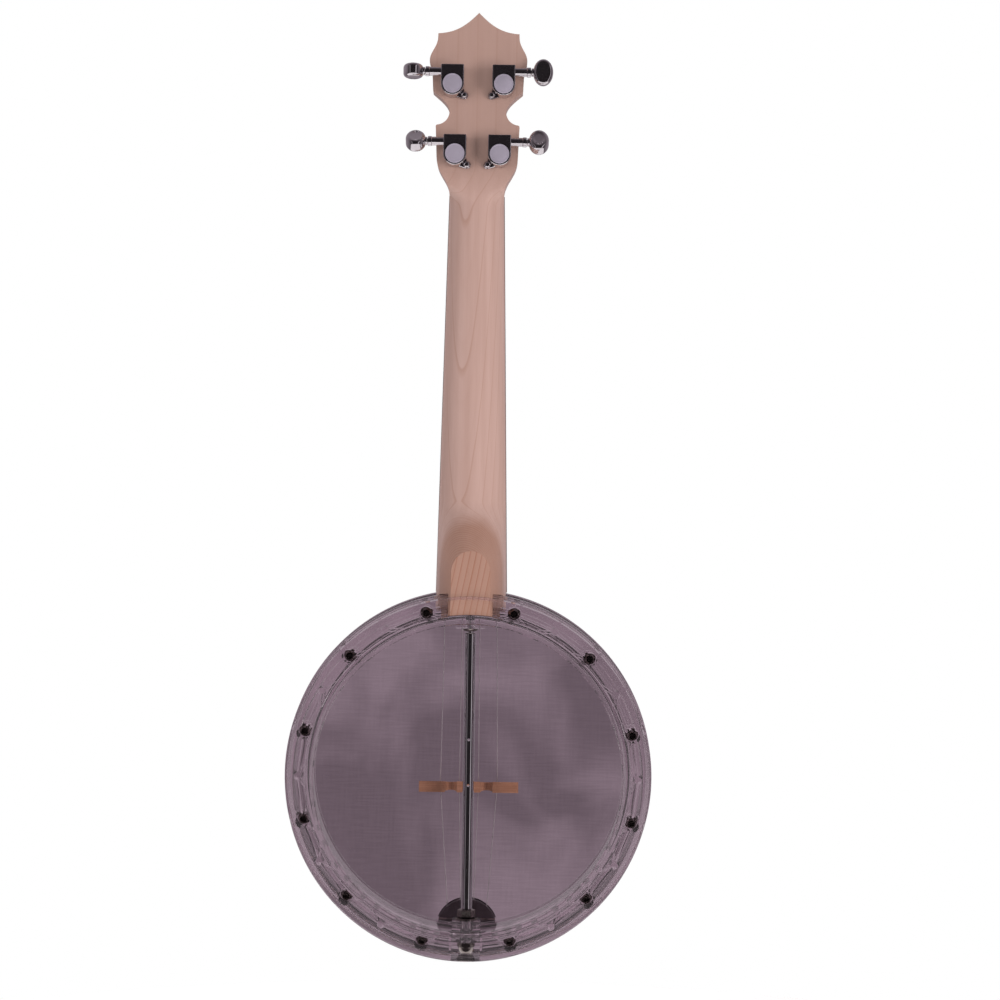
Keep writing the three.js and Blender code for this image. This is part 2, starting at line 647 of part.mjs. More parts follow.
/** Threaded part of the worm: a trapezoid thread swept round the shaft. */
function wormThread() {
  const SIDES = 12;
  const TURNS = 3;
  const { root, crest, halfLength } = WORM;
  const thread = [
    [0.26, root],
    [0.36, crest],
    [0.64, crest],
    [0.74, root],
  ];
  const rows = [];
  for (let turn = -TURNS; turn <= TURNS; turn += 1) {
    thread.forEach(([share, radius]) => rows.push([turn + share, radius]));
  }
  const ringAt = (side) => {
    const phase = side / SIDES;
    const angle = 2 * Math.PI * phase;
    return rows.map(([place, radius]) => {
      const x = (place + phase - 0.5) * WORM_PITCH;
      const inside = Math.abs(x) < halfLength;
      const reach = inside ? radius : root;
      const along = THREE.MathUtils.clamp(x, -halfLength, halfLength);
      return new THREE.Vector3(along, reach * Math.sin(angle), reach * Math.cos(angle));
    });
  };
  const columns = Array.from({ length: SIDES + 1 }, (_, side) => ringAt(side));
  const skin = [];
  const face = (a, b, c) => skin.push(a, b, c);
  for (let side = 0; side < SIDES; side += 1) {
    const [here, next] = [columns[side], columns[side + 1]];
    for (let i = 0; i < rows.length - 1; i += 1) {
      face(here[i], here[i + 1], next[i + 1]);
      face(here[i], next[i + 1], next[i]);
    }
    const low = new THREE.Vector3(-halfLength, 0, 0);
    const high = new THREE.Vector3(halfLength, 0, 0);
    face(low, here[0], next[0]);
    face(high, next[rows.length - 1], here[rows.length - 1]);
  }
  return solid(new THREE.BufferGeometry().setFromPoints(skin));
}

function wormShaft() {
  const shaft = cylinder('x', SHAFT_RADIUS, -5.9, 20.2, [0, 0, 0], 12);
  return wormThread().add(shaft).translate([0, WORM.y, WORM.z]);
}

/** Oval finger button with a short collar. */
function tunerButton(turn) {
  const OVAL = { along: 3.9, across: 5.8, bevel: 2.4, flat: 3.4 };
  const outline = new THREE.Shape();
  outline.absellipse(0, 0, OVAL.along, OVAL.across, 0, 2 * Math.PI);
  const oval = new THREE.ExtrudeGeometry(outline, {
    depth: OVAL.flat,
    bevelThickness: OVAL.bevel,
    bevelSize: OVAL.bevel,
    bevelSegments: 3,
    curveSegments: 8,
  });
  const knob = solid(oval.translate(24.9, 0, -OVAL.flat / 2));
  const collar = cylinder('x', 2.6, 17.5, 20.5);
  const bore = cylinder('x', SHAFT_RADIUS + REST_GAP, 10, 20.5, [0, 0, 0], 12);
  const button = knob.add(collar).subtract(bore);
  return button.rotate([90 + turn, 0, 0]).translate([0, WORM.y, WORM.z]);
}

function gearWheel() {
  const { teeth, root, tip, front, back } = GEAR;
  const HALF_TOOTH = { root: 0.62, tip: 0.27 };
  const points = [];
  for (let i = 0; i < teeth; i += 1) {
    const middle = Math.PI / 2 - (2 * Math.PI * i) / teeth;
    const corner = (radius, half) => {
      const angle = middle + half / radius;
      points.push([radius * Math.cos(angle), radius * Math.sin(angle)]);
    };
    corner(root, HALF_TOOTH.root);
    corner(tip, HALF_TOOTH.tip);
    corner(tip, -HALF_TOOTH.tip);
    corner(root, -HALF_TOOTH.root);
  }
  return plate(shapeOf(points), front, back);
}

/** String post: gear and bearing stub behind the headstock, waisted capstan in front of it. */
function gearPost() {
  const { radius, waist, holeY, end } = POST;
  const profile = [
    [0, end],
    [radius - 0.5, end],
    [radius, end + 0.6],
    [radius, holeY - 2.6],
    [waist, holeY - 1.4],
    [waist, holeY + 1.4],
    [radius, holeY + 2.6],
    [radius, GEAR.front + 0.2],
    [2, GEAR.front + 0.2],
    [2, 8.5],
    [0, 8.5],
  ];
  const stringHole = cylinder('x', 0.8, -5, 5, [0, holeY, 0], 6);
  return turned(profile).add(gearWheel()).subtract(stringHole);
}

/** Hexagonal bushing screwed in round the post from the front. */
function postBushing() {
  const collar = cylinder('y', 5.2, -15.2, -13 - REST_GAP, [0, 0, 0], 6);
  const barrel = cylinder('y', POST_HOLE_RADIUS - REST_GAP, -14, -5);
  const bore = cylinder('y', POST.radius + REST_GAP, -20, 0);
  return collar.add(barrel).subtract(bore);
}

function mountScrew() {
  const profile = [[0, -6.5], [0.9, -5.5], [0.9, 2.4], [2, 2.4], [1.7, 3.3], [0.9, 3.7], [0, 3.8]];
  return turned(profile, 12).translate([-7.5, 0, -5.8]);
}

// ---------------------------------------------------------------- materials and the scene

const finish = (color, roughness, metalness) => ({ color, roughness, metalness });
const FINISHES = {
  clearPlastic: { ...finish(0xcfc7cc, 0.08, 0), transparent: true, opacity: 0.4 },
  film: { ...finish(0xa79ca3, 0.35, 0), transparent: true, opacity: 0.6 },
  maple: finish(0xd9b79a, 0.45, 0),
  rosewood: finish(0x33221c, 0.55, 0),
  bone: finish(0xeee6d2, 0.4, 0),
  chrome: finish(0xc8c8cc, 0.12, 1),
  blackChrome: finish(0x3a3638, 0.25, 1),
  steel: finish(0xa7a19b, 0.3, 1),
  aluminium: finish(0xb9b9bd, 0.35, 1),
  capPlate: finish(0xb4aec0, 0.2, 1),
  nylon: finish(0xe8e4e4, 0.3, 0),
};

const banjo = new THREE.Group();

function add(name, body, finishName, parent = banjo) {
  const mesh = new THREE.Mesh(geometryOf(body), new THREE.MeshStandardMaterial(FINISHES[finishName]));
  mesh.name = name;
  parent.add(mesh);
}

function addPot() {
  add('rim_shell', rimShell(), 'clearPlastic');
  add('tension_hoop', tensionHoop(), 'clearPlastic');
  add('head', headFilm(), 'film');
  add('flesh_hoop', fleshHoop(), 'aluminium');
  boltAngles.forEach((angle, i) => {
    add(`hoop_bolt_${String(i + 1).padStart(2, '0')}`, hoopBolt(angle), 'blackChrome');
  });
}

function addRodAndTailpiece() {
  add('coordinator_rod', coordinatorRod(), 'chrome');
  add('rod_collar', washer(3.9, -279.3, -277.6, 5.4), 'steel');
  add('rod_inner_nut', hexNut(), 'steel');
  add('rod_inner_washer', washer(7.2, -462.4, -461.2), 'steel');
  add('rod_outer_washer', washer(5.7, END_STACK.washer - 1, END_STACK.washer), 'steel');
  add('rod_acorn_nut', acornNut(), 'steel');
  add('tailpiece_base', tailpieceBase(), 'chrome');
  add('tailpiece_cover', tailpieceCover(), 'chrome');
}

function addNeckAndStrings() {
  add('neck', neck(), 'maple');
  add('fingerboard', fingerboard(), 'rosewood');
  add('string_nut', stringNut(), 'bone');
  add('bridge', bridge(), 'maple');
  STRINGS.forEach((string, i) => {
    const outer = i === 0 || i === STRINGS.length - 1;
    add(string.name, stringAlong(string, outer), 'nylon');
  });
}

/** One tuner in its own group; the -X side is the mirror image of the +X side. */
function addTuner({ name, side, x, z, turn }) {
  const tuner = new THREE.Group();
  tuner.position.set(side * x, HEADSTOCK_BACK_Y, z);
  tuner.scale.x = side;
  banjo.add(tuner);
  add(`tuner_${name}_housing`, tunerHousing(), 'chrome', tuner);
  add(`tuner_${name}_cap`, tunerCap(), 'capPlate', tuner);
  add(`tuner_${name}_worm`, wormShaft(), 'steel', tuner);
  add(`tuner_${name}_button`, tunerButton(turn), 'chrome', tuner);
  add(`tuner_${name}_gear_post`, gearPost(), 'chrome', tuner);
  add(`tuner_${name}_bushing`, postBushing(), 'chrome', tuner);
  add(`tuner_${name}_screw`, mountScrew(), 'chrome', tuner);
}

addPot();
addRodAndTailpiece();
addNeckAndStrings();
TUNERS.forEach(addTuner);

export default banjo;
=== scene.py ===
"""Looks of a banjo-ukulele with a clear pot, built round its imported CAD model.

+Z runs up the neck and +Y points out of the back. The scene is in metres. Bodies are drawn in
millimetres, at the CAD model's own sizes and places, and most of them stand in for a CAD node.
"""
import json
import math

import bmesh
import bpy
from mathutils import Matrix, Vector


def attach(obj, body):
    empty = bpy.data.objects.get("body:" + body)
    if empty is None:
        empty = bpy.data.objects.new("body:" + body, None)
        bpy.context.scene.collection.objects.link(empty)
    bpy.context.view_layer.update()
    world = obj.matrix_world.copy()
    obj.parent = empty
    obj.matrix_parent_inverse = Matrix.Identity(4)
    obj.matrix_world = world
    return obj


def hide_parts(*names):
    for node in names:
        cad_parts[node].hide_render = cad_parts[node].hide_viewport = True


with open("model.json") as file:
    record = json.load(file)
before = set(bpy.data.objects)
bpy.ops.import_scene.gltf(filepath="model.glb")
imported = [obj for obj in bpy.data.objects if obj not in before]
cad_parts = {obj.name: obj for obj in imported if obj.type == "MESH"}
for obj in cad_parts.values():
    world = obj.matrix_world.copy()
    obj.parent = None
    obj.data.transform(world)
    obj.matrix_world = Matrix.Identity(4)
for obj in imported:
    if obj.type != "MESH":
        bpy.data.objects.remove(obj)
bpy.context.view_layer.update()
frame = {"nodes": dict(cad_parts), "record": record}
NODES = frame["nodes"]

MM = 0.001


# ------------------------------------------------------------------ camera, world and lights

CAMERA_PLACE = Vector((-0.0176, 1.348, -0.1958))
CAMERA_ROLL = math.radians(0.82)
CAMERA_LENS = 75.2
CAMERA_SENSOR = 36
LIT_POINT = (0, 0, -0.2)
FLOOR_HEIGHT = -0.76
FLOOR_RADIUS = 1.1


def make_camera():
    """Looks square on at the back, a hair out of upright."""
    camera = bpy.data.objects.new("camera", bpy.data.cameras.new("camera"))
    camera.data.lens = CAMERA_LENS
    camera.data.sensor_width = CAMERA_SENSOR
    sine, cosine = math.sin(CAMERA_ROLL), math.cos(CAMERA_ROLL)
    right = Vector((-cosine, 0, sine))
    up = Vector((sine, 0, cosine))
    back = Vector((0, 1, 0))
    axes = Matrix((right, up, back)).transposed()
    camera.matrix_world = Matrix.Translation(CAMERA_PLACE) @ axes.to_4x4()
    bpy.context.scene.collection.objects.link(camera)
    bpy.context.scene.camera = camera


def make_softbox(name, place, size, power, colour):
    """A rectangular lamp aimed at the instrument, unseen in reflections and through clear parts."""
    light = bpy.data.objects.new(name, bpy.data.lights.new(name, "AREA"))
    light.data.shape = "RECTANGLE"
    light.data.size, light.data.size_y = size
    light.data.energy = power
    light.data.color = colour
    toward = Vector(LIT_POINT) - Vector(place)
    light.rotation_euler = toward.to_track_quat("-Z", "Y").to_euler()
    light.location = place
    light.visible_glossy = False
    light.visible_transmission = False
    bpy.context.scene.collection.objects.link(light)


def make_lights():
    """Two tall softboxes on the camera's side, and one that lights the strings' side."""
    make_softbox("key", (-1.8, 1.7, -0.35), (0.8, 1.6), 44, (1, 0.95, 0.95))
    make_softbox("fill", (1.7, 1.9, 0.1), (0.8, 1.6), 22, (1, 0.95, 0.96))
    make_softbox("far_side", (0.6, -1.6, 0.8), (1.2, 1.2), 26, (1, 0.97, 0.96))


def make_world():
    """White straight past the object, mauve cloth through its clear parts, a room for the rest.

    Diffuse light comes from a pale room. Reflections see a darker one, black towards the back's
    side but for a tall soft lamp either side there.
    """
    world = bpy.data.worlds.new("studio")
    world.use_nodes = True
    bpy.context.scene.world = world
    tree = Tree(world.node_tree)
    direction = tree.add("ShaderNodeTexCoord").outputs["Generated"]
    _, _, height = tree.split(direction)
    lift = tree.math("MULTIPLY_ADD", height, 0.5, 0.5)
    low, level, high = (0.34, 0.32, 0.33), (0.46, 0.43, 0.44), (0.75, 0.71, 0.72)
    room = tree.ramp(lift, [(0, low), (0.5, level), (1, high)])
    path = tree.add("ShaderNodeLightPath").outputs
    depth = tree.math("MAXIMUM", path["Transmission Depth"], path["Transparent Depth"])
    seen_through = tree.math("GREATER_THAN", depth, 0.5)
    white = (1, 1, 1)
    colour = tree.mix(seen_through, white, cloth_colour(tree, direction, lift))
    reflected = tree.math("GREATER_THAN", path["Glossy Depth"], 0.5)
    colour = tree.mix(reflected, colour, mirrored_room(tree, direction, lift))
    scattered = tree.math("GREATER_THAN", path["Diffuse Depth"], 0.5)
    background = tree.add("ShaderNodeBackground")
    tree.link(tree.mix(scattered, colour, room), background.inputs["Color"])
    output = tree.add("ShaderNodeOutputWorld")
    tree.link(background.outputs[0], output.inputs["Surface"])


def cloth_colour(tree, direction, lift):
    """Softly folded mauve cloth about level, fading out part way below and wholly above."""
    folds = tree.noise(direction, 19.0, detail=2, warp=0.5)
    dark, light, faded = (0.150, 0.111, 0.135), (0.245, 0.184, 0.22), (0.31, 0.255, 0.285)
    cloth = tree.ramp(folds, [(0.36, dark), (0.64, light)])
    hung = tree.ramp(lift, [(0.2, 0.5), (0.38, 1.0), (0.55, 1.0), (0.8, 0.0)])
    return tree.mix(hung, faded, cloth)


def mirrored_room(tree, direction, lift):
    """What shiny surfaces show: pale in front, dark behind and below, two lamps behind."""
    sideways, toward_back, _ = tree.split(direction)
    far = tree.math("MULTIPLY_ADD", toward_back, 0.5, 0.5)
    pale, dim = (0.36, 0.31, 0.34), (0.22, 0.185, 0.205)
    dusk, black = (0.085, 0.07, 0.077), (0.02, 0.016, 0.018)
    room = tree.ramp(far, [(0, pale), (0.5, dim), (0.68, dusk), (0.9, black)])
    below = tree.ramp(lift, [(0.2, 0.55), (0.55, 0.0)])
    room = tree.mix(below, room, black)
    across = tree.math("MULTIPLY_ADD", sideways, 0.5, 0.5)
    right = [(0.11, 0.0), (0.14, 1.0), (0.18, 1.0), (0.21, 0.0)]
    left = [(0.79, 0.0), (0.82, 0.35), (0.86, 0.35), (0.89, 0.0)]
    behind = tree.ramp(far, [(0.62, 0.0), (0.72, 1.0)])
    lamps = tree.math("MULTIPLY", tree.ramp(across, right + left), behind)
    tall = tree.ramp(lift, [(0.15, 0.0), (0.3, 1.0), (0.7, 1.0), (0.85, 0.0)])
    lamp_colour = (0.7, 0.64, 0.67)
    return tree.mix(tree.math("MULTIPLY", lamps, tall), room, lamp_colour)


def make_floor():
    """A plain pale floor some way under the hanging instrument."""
    mesh = bpy.data.meshes.new("floor")
    form = bmesh.new()
    bmesh.ops.create_circle(form, cap_ends=True, segments=96, radius=FLOOR_RADIUS)
    form.to_mesh(mesh)
    form.free()
    floor = bpy.data.objects.new("floor", mesh)
    floor.location = (0, 0, FLOOR_HEIGHT)
    pale = Material("pale_floor", roughness=0.7)
    mottle = pale.tree.noise(pale.place(), 6, detail=3)
    pale.set("Base Color", pale.tree.ramp(mottle, [(0, (0.90, 0.89, 0.89)), (1, (0.95, 0.94, 0.94))]))
    mesh.materials.append(pale.data)
    bpy.context.scene.collection.objects.link(floor)
    floor.visible_transmission = False


# ------------------------------------------------------------------ shader building


class Tree:
    """Short ways to add nodes to a node tree; each returns the socket that carries its result."""

    def __init__(self, tree):
        self.tree = tree
        tree.nodes.clear()

    def add(self, kind):
        return self.tree.nodes.new(kind)

    def link(self, source, target):
        """Joins a socket to an input, or sets the input where the source is a plain value."""
        if isinstance(source, bpy.types.NodeSocket):
            self.tree.links.new(source, target)
        elif isinstance(source, (tuple, list)) and target.type == "RGBA":
            target.default_value = (*source, 1)
        else:
            target.default_value = source

    def math(self, operation, *values):
        node = self.add("ShaderNodeMath")
        node.operation = operation
        for value, target in zip(values, node.inputs):
            self.link(value, target)
        return node.outputs[0]

    def split(self, vector):
        node = self.add("ShaderNodeSeparateXYZ")
        self.link(vector, node.inputs[0])
        return node.outputs

    def scaled(self, vector, scale):
        node = self.add("ShaderNodeMapping")
        self.link(vector, node.inputs["Vector"])
        node.inputs["Scale"].default_value = scale
        return node.outputs[0]

    def noise(self, vector, scale, detail=4, rough=0.5, warp=0.0):
        node = self.add("ShaderNodeTexNoise")
        self.link(vector, node.inputs["Vector"])
        node.inputs["Scale"].default_value = scale
        node.inputs["Detail"].default_value = detail
        node.inputs["Roughness"].default_value = rough
        node.inputs["Distortion"].default_value = warp
        return node.outputs[0]

    def ramp(self, value, stops):
        """Maps a value through rising stops of (place, colour) or (place, grey)."""
        node = self.add("ShaderNodeValToRGB")
        self.link(value, node.inputs[0])
        points = node.color_ramp.elements
        while len(points) < len(stops):
            points.new(0.5)
        for point, (place, _) in zip(points, stops):
            point.position = place
        for point, (_, colour) in zip(points, stops):
            shade = colour if isinstance(colour, tuple) else (colour,) * 3
            point.color = (*shade, 1)
        return node.outputs[0]

    def mix(self, share, first, second):
        """The first colour where the share is 0, the second where it is 1."""
        node = self.add("ShaderNodeMix")
        node.data_type = "RGBA"
        colour_a, colour_b, colour_result = 6, 7, 2
        self.link(share, node.inputs["Factor"])
        self.link(first, node.inputs[colour_a])
        self.link(second, node.inputs[colour_b])
        return node.outputs[colour_result]

    def bump(self, height, depth, strength):
        node = self.add("ShaderNodeBump")
        self.link(height, node.inputs["Height"])
        node.inputs["Distance"].default_value = depth
        node.inputs["Strength"].default_value = strength
        return node.outputs[0]


class Material:
    """A Principled material and the tree that feeds it."""

    def __init__(self, name, base=(0.5, 0.5, 0.5), **settings):
        self.data = bpy.data.materials.new(name)
        self.data.use_nodes = True
        self.tree = Tree(self.data.node_tree)
        self.shader = self.tree.add("ShaderNodeBsdfPrincipled")
        output = self.tree.add("ShaderNodeOutputMaterial")
        self.tree.link(self.shader.outputs[0], output.inputs["Surface"])
        self.set("Base Color", base)
        for key, value in settings.items():
            self.set(key.replace("_", " ").title().replace("Ior", "IOR"), value)

    def set(self, socket, value):
        self.tree.link(value, self.shader.inputs[socket])

    def place(self):
        """The point of the object in metres, the same in every pose."""
        return self.tree.add("ShaderNodeTexCoord").outputs["Object"]


# ------------------------------------------------------------------ materials

MAPLE_TILT, MAPLE_SLANT = 0.066, 0.34
RING_BROWN = (0.30, 0.155, 0.105)


def growth_rings(tree, place, tilt, slant, spacing, warp):
    """Where each point lies between two growth rings: 0 just after a ring, 1 at the next."""
    x, y, z = tree.split(place)
    across = tree.math("MULTIPLY_ADD", x, slant, y)
    below_nut = tree.math("MINIMUM", z, 0.0)
    along = tree.math("MULTIPLY_ADD", below_nut, tilt, across)
    drift = tree.noise(tree.scaled(place, (1, 1, 0.25)), 22, detail=3)
    shifted = tree.math("MULTIPLY_ADD", drift, warp, along)
    return tree.math("FRACT", tree.math("DIVIDE", shifted, spacing))


def make_maple():
    """Pale satin maple: nested growth rings, fine fibres, darker where end grain shows."""
    wood = Material("maple", roughness=0.42, coat_weight=0.25, coat_roughness=0.2)
    tree = wood.tree
    place = wood.place()
    fibre = tree.noise(tree.scaled(place, (1, 1, 0.02)), 1500, detail=5, rough=0.6)
    colour = maple_rings(tree, place, maple_body(tree, place, fibre))
    height = tree.split(place)[2]
    in_head = tree.ramp(tree.math("MULTIPLY_ADD", height, 10, 0.5), [(0.45, 0.0), (0.62, 0.55)])
    wood.set("Base Color", tree.mix(in_head, colour, (0.32, 0.205, 0.165)))
    wood.set("Normal", tree.bump(fibre, depth=0.00002, strength=0.5))
    wood.set("Roughness", tree.ramp(fibre, [(0.3, 0.38), (0.8, 0.5)]))
    return wood.data


def maple_body(tree, place, fibre):
    """The wood's colour between the growth rings."""
    streak = tree.noise(tree.scaled(place, (1, 1, 0.04)), 170, detail=3)
    body = tree.ramp(streak, [(0.3, (0.415, 0.275, 0.232)), (0.7, (0.47, 0.322, 0.278))])
    return tree.mix(tree.ramp(fibre, [(0.35, 0.0), (0.75, 0.3)]), body, (0.38, 0.245, 0.205))


def maple_rings(tree, place, body):
    """Wide and fine rings everywhere, and tight ones on the heel, which is darker too."""
    wide = growth_rings(tree, place, MAPLE_TILT, MAPLE_SLANT, spacing=0.0043, warp=0.0022)
    fine = growth_rings(tree, place, MAPLE_TILT, MAPLE_SLANT, spacing=0.0019, warp=0.0016)
    tight = growth_rings(tree, place, MAPLE_TILT, MAPLE_SLANT, spacing=0.0013, warp=0.0018)
    wide_line = tree.ramp(wide, [(0.0, 0.0), (0.9, 0.04), (0.975, 0.42), (0.995, 0.0)])
    fine_line = tree.ramp(fine, [(0.0, 0.0), (0.7, 0.2), (0.93, 1.0), (1.0, 0.0)])
    tight_line = tree.ramp(tight, [(0.0, 0.0), (0.72, 0.1), (0.93, 0.7), (1.0, 0.0)])
    depth = tree.split(place)[1]
    in_heel = tree.ramp(tree.math("MULTIPLY", depth, 20), [(0.41, 0.0), (0.58, 1.0)])
    body = tree.mix(wide_line, body, RING_BROWN)
    body = tree.mix(tree.math("MULTIPLY", fine_line, 0.045), body, RING_BROWN)
    body = tree.mix(tree.math("MULTIPLY", in_heel, 0.62), body, (0.30, 0.155, 0.10))
    return tree.mix(tree.math("MULTIPLY", tight_line, in_heel), body, (0.25, 0.10, 0.055))


def make_bridge_wood():
    """Bare red-brown wood, its grain along the bridge."""
    wood = Material("bridge_wood", roughness=0.55)
    tree = wood.tree
    place = wood.place()
    fibre = tree.noise(tree.scaled(place, (0.03, 1, 1)), 1600, detail=5, rough=0.6)
    rings = growth_rings(tree, place, tilt=1.0, slant=0.02, spacing=0.0011, warp=0.0006)
    body = tree.ramp(fibre, [(0.3, (0.25, 0.12, 0.075)), (0.75, (0.36, 0.185, 0.12))])
    line = tree.ramp(rings, [(0.0, 0.0), (0.8, 0.2), (0.97, 0.6), (1.0, 0.0)])
    wood.set("Base Color", tree.mix(line, body, (0.24, 0.10, 0.05)))
    wood.set("Normal", tree.bump(fibre, depth=0.00002, strength=0.6))
    return wood.data


def make_rosewood():
    """Oiled dark wood with streaks and open pores."""
    wood = Material("rosewood", roughness=0.42)
    tree = wood.tree
    place = wood.place()
    streak = tree.noise(tree.scaled(place, (1, 1, 0.03)), 420, detail=6, rough=0.62, warp=0.3)
    dark, middle, light = (0.030, 0.014, 0.010), (0.085, 0.036, 0.024), (0.15, 0.065, 0.040)
    body = tree.ramp(streak, [(0.3, dark), (0.55, middle), (0.8, light)])
    pores = tree.noise(tree.scaled(place, (1, 1, 0.07)), 2600, detail=2)
    level = tree.ramp(pores, [(0.30, 0.0), (0.36, 1.0)])
    in_pore = tree.math("SUBTRACT", 1.0, level)
    wood.set("Base Color", tree.mix(in_pore, body, (0.012, 0.006, 0.005)))
    wood.set("Normal", tree.bump(level, depth=0.00006, strength=0.6))
    return wood.data


def make_clear_plastic():
    """Clear moulded plastic with faint flow marks and a few scuffs."""
    clear = Material("clear_plastic", base=(0.955, 0.885, 0.93), transmission_weight=0.982, ior=1.49)
    tree = clear.tree
    place = clear.place()
    flow = tree.noise(place, 60, detail=2, warp=0.4)
    scuff = tree.noise(place, 900, detail=4)
    clear.set("Roughness", tree.ramp(scuff, [(0.45, 0.0), (0.8, 0.03)]))
    clear.set("Normal", tree.bump(flow, depth=0.0001, strength=0.15))
    return clear.data


def make_film():
    """Thin clear film, glossy, with a faint weave in its tint."""
    film = Material("head_film", transmission_weight=1.0, ior=1.4, roughness=0.0)
    tree = film.tree
    place = film.place()
    warp = tree.noise(tree.scaled(place, (1, 1, 0.1)), 700, detail=1)
    weft = tree.noise(tree.scaled(place, (0.07, 1, 1)), 900, detail=1)
    weave = tree.math("MULTIPLY_ADD", warp, 0.35, tree.math("MULTIPLY", weft, 0.65))
    film.set("Base Color", tree.ramp(weave, [(0.36, (0.90, 0.87, 0.89)), (0.64, (1.0, 0.97, 0.99))]))
    return film.data


def make_metal(name, base, roughness, wear=0.06, scale=700, stretch=(1, 1, 1), **settings):
    """Polished or brushed metal: smudges change its colour and roughness, a faint grain its surface."""
    settings.setdefault("metallic", 1.0)
    metal = Material(name, base=base, **settings)
    tree = metal.tree
    place = tree.scaled(metal.place(), stretch)
    grain = tree.noise(place, scale, detail=5)
    smudge = tree.noise(place, scale / 12, detail=3)
    dark = tuple(0.82 * channel for channel in base)
    metal.set("Base Color", tree.ramp(smudge, [(0.3, base), (0.8, dark)]))
    metal.set("Roughness", tree.ramp(smudge, [(0.35, roughness), (0.75, roughness + wear)]))
    metal.set("Normal", tree.bump(grain, depth=0.000008, strength=0.5))
    return metal.data


def make_plastic(name, base, roughness, shade=0.85, scale=300):
    """Opaque moulded plastic with slight colour variation and a fine pebble."""
    plastic = Material(name, base=base)
    tree = plastic.tree
    mottle = tree.noise(plastic.place(), scale, detail=4)
    deep = tuple(shade * channel for channel in base)
    plastic.set("Base Color", tree.ramp(mottle, [(0.3, base), (0.75, deep)]))
    plastic.set("Roughness", tree.ramp(mottle, [(0.3, roughness), (0.75, roughness + 0.08)]))
    plastic.set("Normal", tree.bump(mottle, depth=0.00001, strength=0.4))
    return plastic.data


def paint_cad_nodes():
    """Every CAD node takes its slot's material, and the tailpiece a plate of its own."""
    slot_materials = {
        "clear_pot": make_clear_plastic(),
        "head_film": make_film(),
        "flesh_hoop": make_metal("flesh_hoop_metal", (0.42, 0.39, 0.41), 0.35, stretch=(1, 0.1, 1)),
        "bolts": make_metal("dark_plate", (0.24, 0.20, 0.195), 0.18),
        "chrome": make_metal("chrome", (0.70, 0.68, 0.71), 0.05),
        "steel": make_metal("steel", (0.32, 0.285, 0.27), 0.16, stretch=(1, 1, 0.1)),
        "maple": make_maple(),
        "bridge_wood": make_bridge_wood(),
        "fingerboard": make_rosewood(),
        "nut_plastic": make_plastic("bone", (0.80, 0.74, 0.60), 0.35),
        "strings": make_plastic("nylon", (0.27, 0.235, 0.255), 0.3),
        "cap_plate": make_metal("cap_plate", (0.45, 0.415, 0.50), 0.42, metallic=0.4),
    }
    for part in frame["record"]["subparts"]:
        node = NODES[part["node"]]
        node.data.materials.clear()
        node.data.materials.append(slot_materials[part["material_slot"]])
        shade_smooth(node)
    tail_plate = make_metal("tail_plate", (0.48, 0.42, 0.455), 0.3)
    for name in ("tailpiece_base", "tailpiece_cover"):
        NODES[name].data.materials[0] = tail_plate
    return slot_materials


# ------------------------------------------------------------------ mesh building

RING_SIDES = 288
ROUND_SIDES = 64


def turned(profile, sides=ROUND_SIDES):
    """A closed body: (radius, height) points in millimetres, turned round the y axis."""
    form = bmesh.new()
    rows = []
    for radius, height in profile:
        angles = [math.tau * i / sides for i in range(sides if radius else 1)]
        places = [Vector((radius * math.sin(a), height, radius * math.cos(a))) * MM for a in angles]
        rows.append([form.verts.new(place) for place in places])
    on_axis = any(radius == 0 for radius, _ in profile)
    followers = rows[1:] if on_axis else rows[1:] + rows[:1]
    for low, high in zip(rows, followers):
        for i in range(sides):
            around = ((low, i), (low, i + 1), (high, i + 1), (high, i))
            corners = [row[j % len(row)] for row, j in around]
            form.faces.new(list(dict.fromkeys(corners)))
    return tidied(form)


def inset(outline, distance):
    """The outline of a convex shape moved inwards by a distance."""
    inner = []
    for i, point in enumerate(outline):
        before, after = outline[i - 1], outline[(i + 1) % len(outline)]
        first = (point - before).normalized()
        second = (after - point).normalized()
        inward = Vector((-first.y - second.y, first.x + second.x)).normalized()
        lean = max(0.3, inward.dot(Vector((-first.y, first.x))))
        inner.append(point + inward * distance / lean)
    return inner


def layered(outline, levels):
    """A closed body of an (x, z) outline in millimetres at (y, inset) levels, so edges can be eased."""
    form = bmesh.new()
    rows = []
    for height, distance in levels:
        ring = inset(outline, distance)
        rows.append([form.verts.new(Vector((p.x, height, p.y)) * MM) for p in ring])
    for low, high in zip(rows, rows[1:]):
        for i in range(len(outline)):
            j = (i + 1) % len(outline)
            form.faces.new((low[i], low[j], high[j], high[i]))
    form.faces.new(rows[0])
    form.faces.new(rows[-1])
    return tidied(form)


def eased(low, high, radius, both=True, steps=4):
    """Levels for layered() whose upper edge, or both edges, are rounded."""
    curve = [math.pi / 2 * i / steps for i in range(steps + 1)]
    top = [(high - radius + radius * math.sin(a), radius * (1 - math.cos(a))) for a in curve]
    if not both:
        return [(low, 0)] + top
    foot = [(low + radius - radius * math.sin(a), radius * (1 - math.cos(a))) for a in reversed(curve)]
    return foot + top


def ellipse(across, up, sides=ROUND_SIDES, centre=(0, 0)):
    angles = [math.tau * i / sides for i in range(sides)]
    return [Vector((centre[0] + across * math.cos(a), centre[1] + up * math.sin(a))) for a in angles]


def tidied(form):
    """The same body with every face turned outwards."""
    bmesh.ops.recalc_face_normals(form, faces=form.faces)
    return form


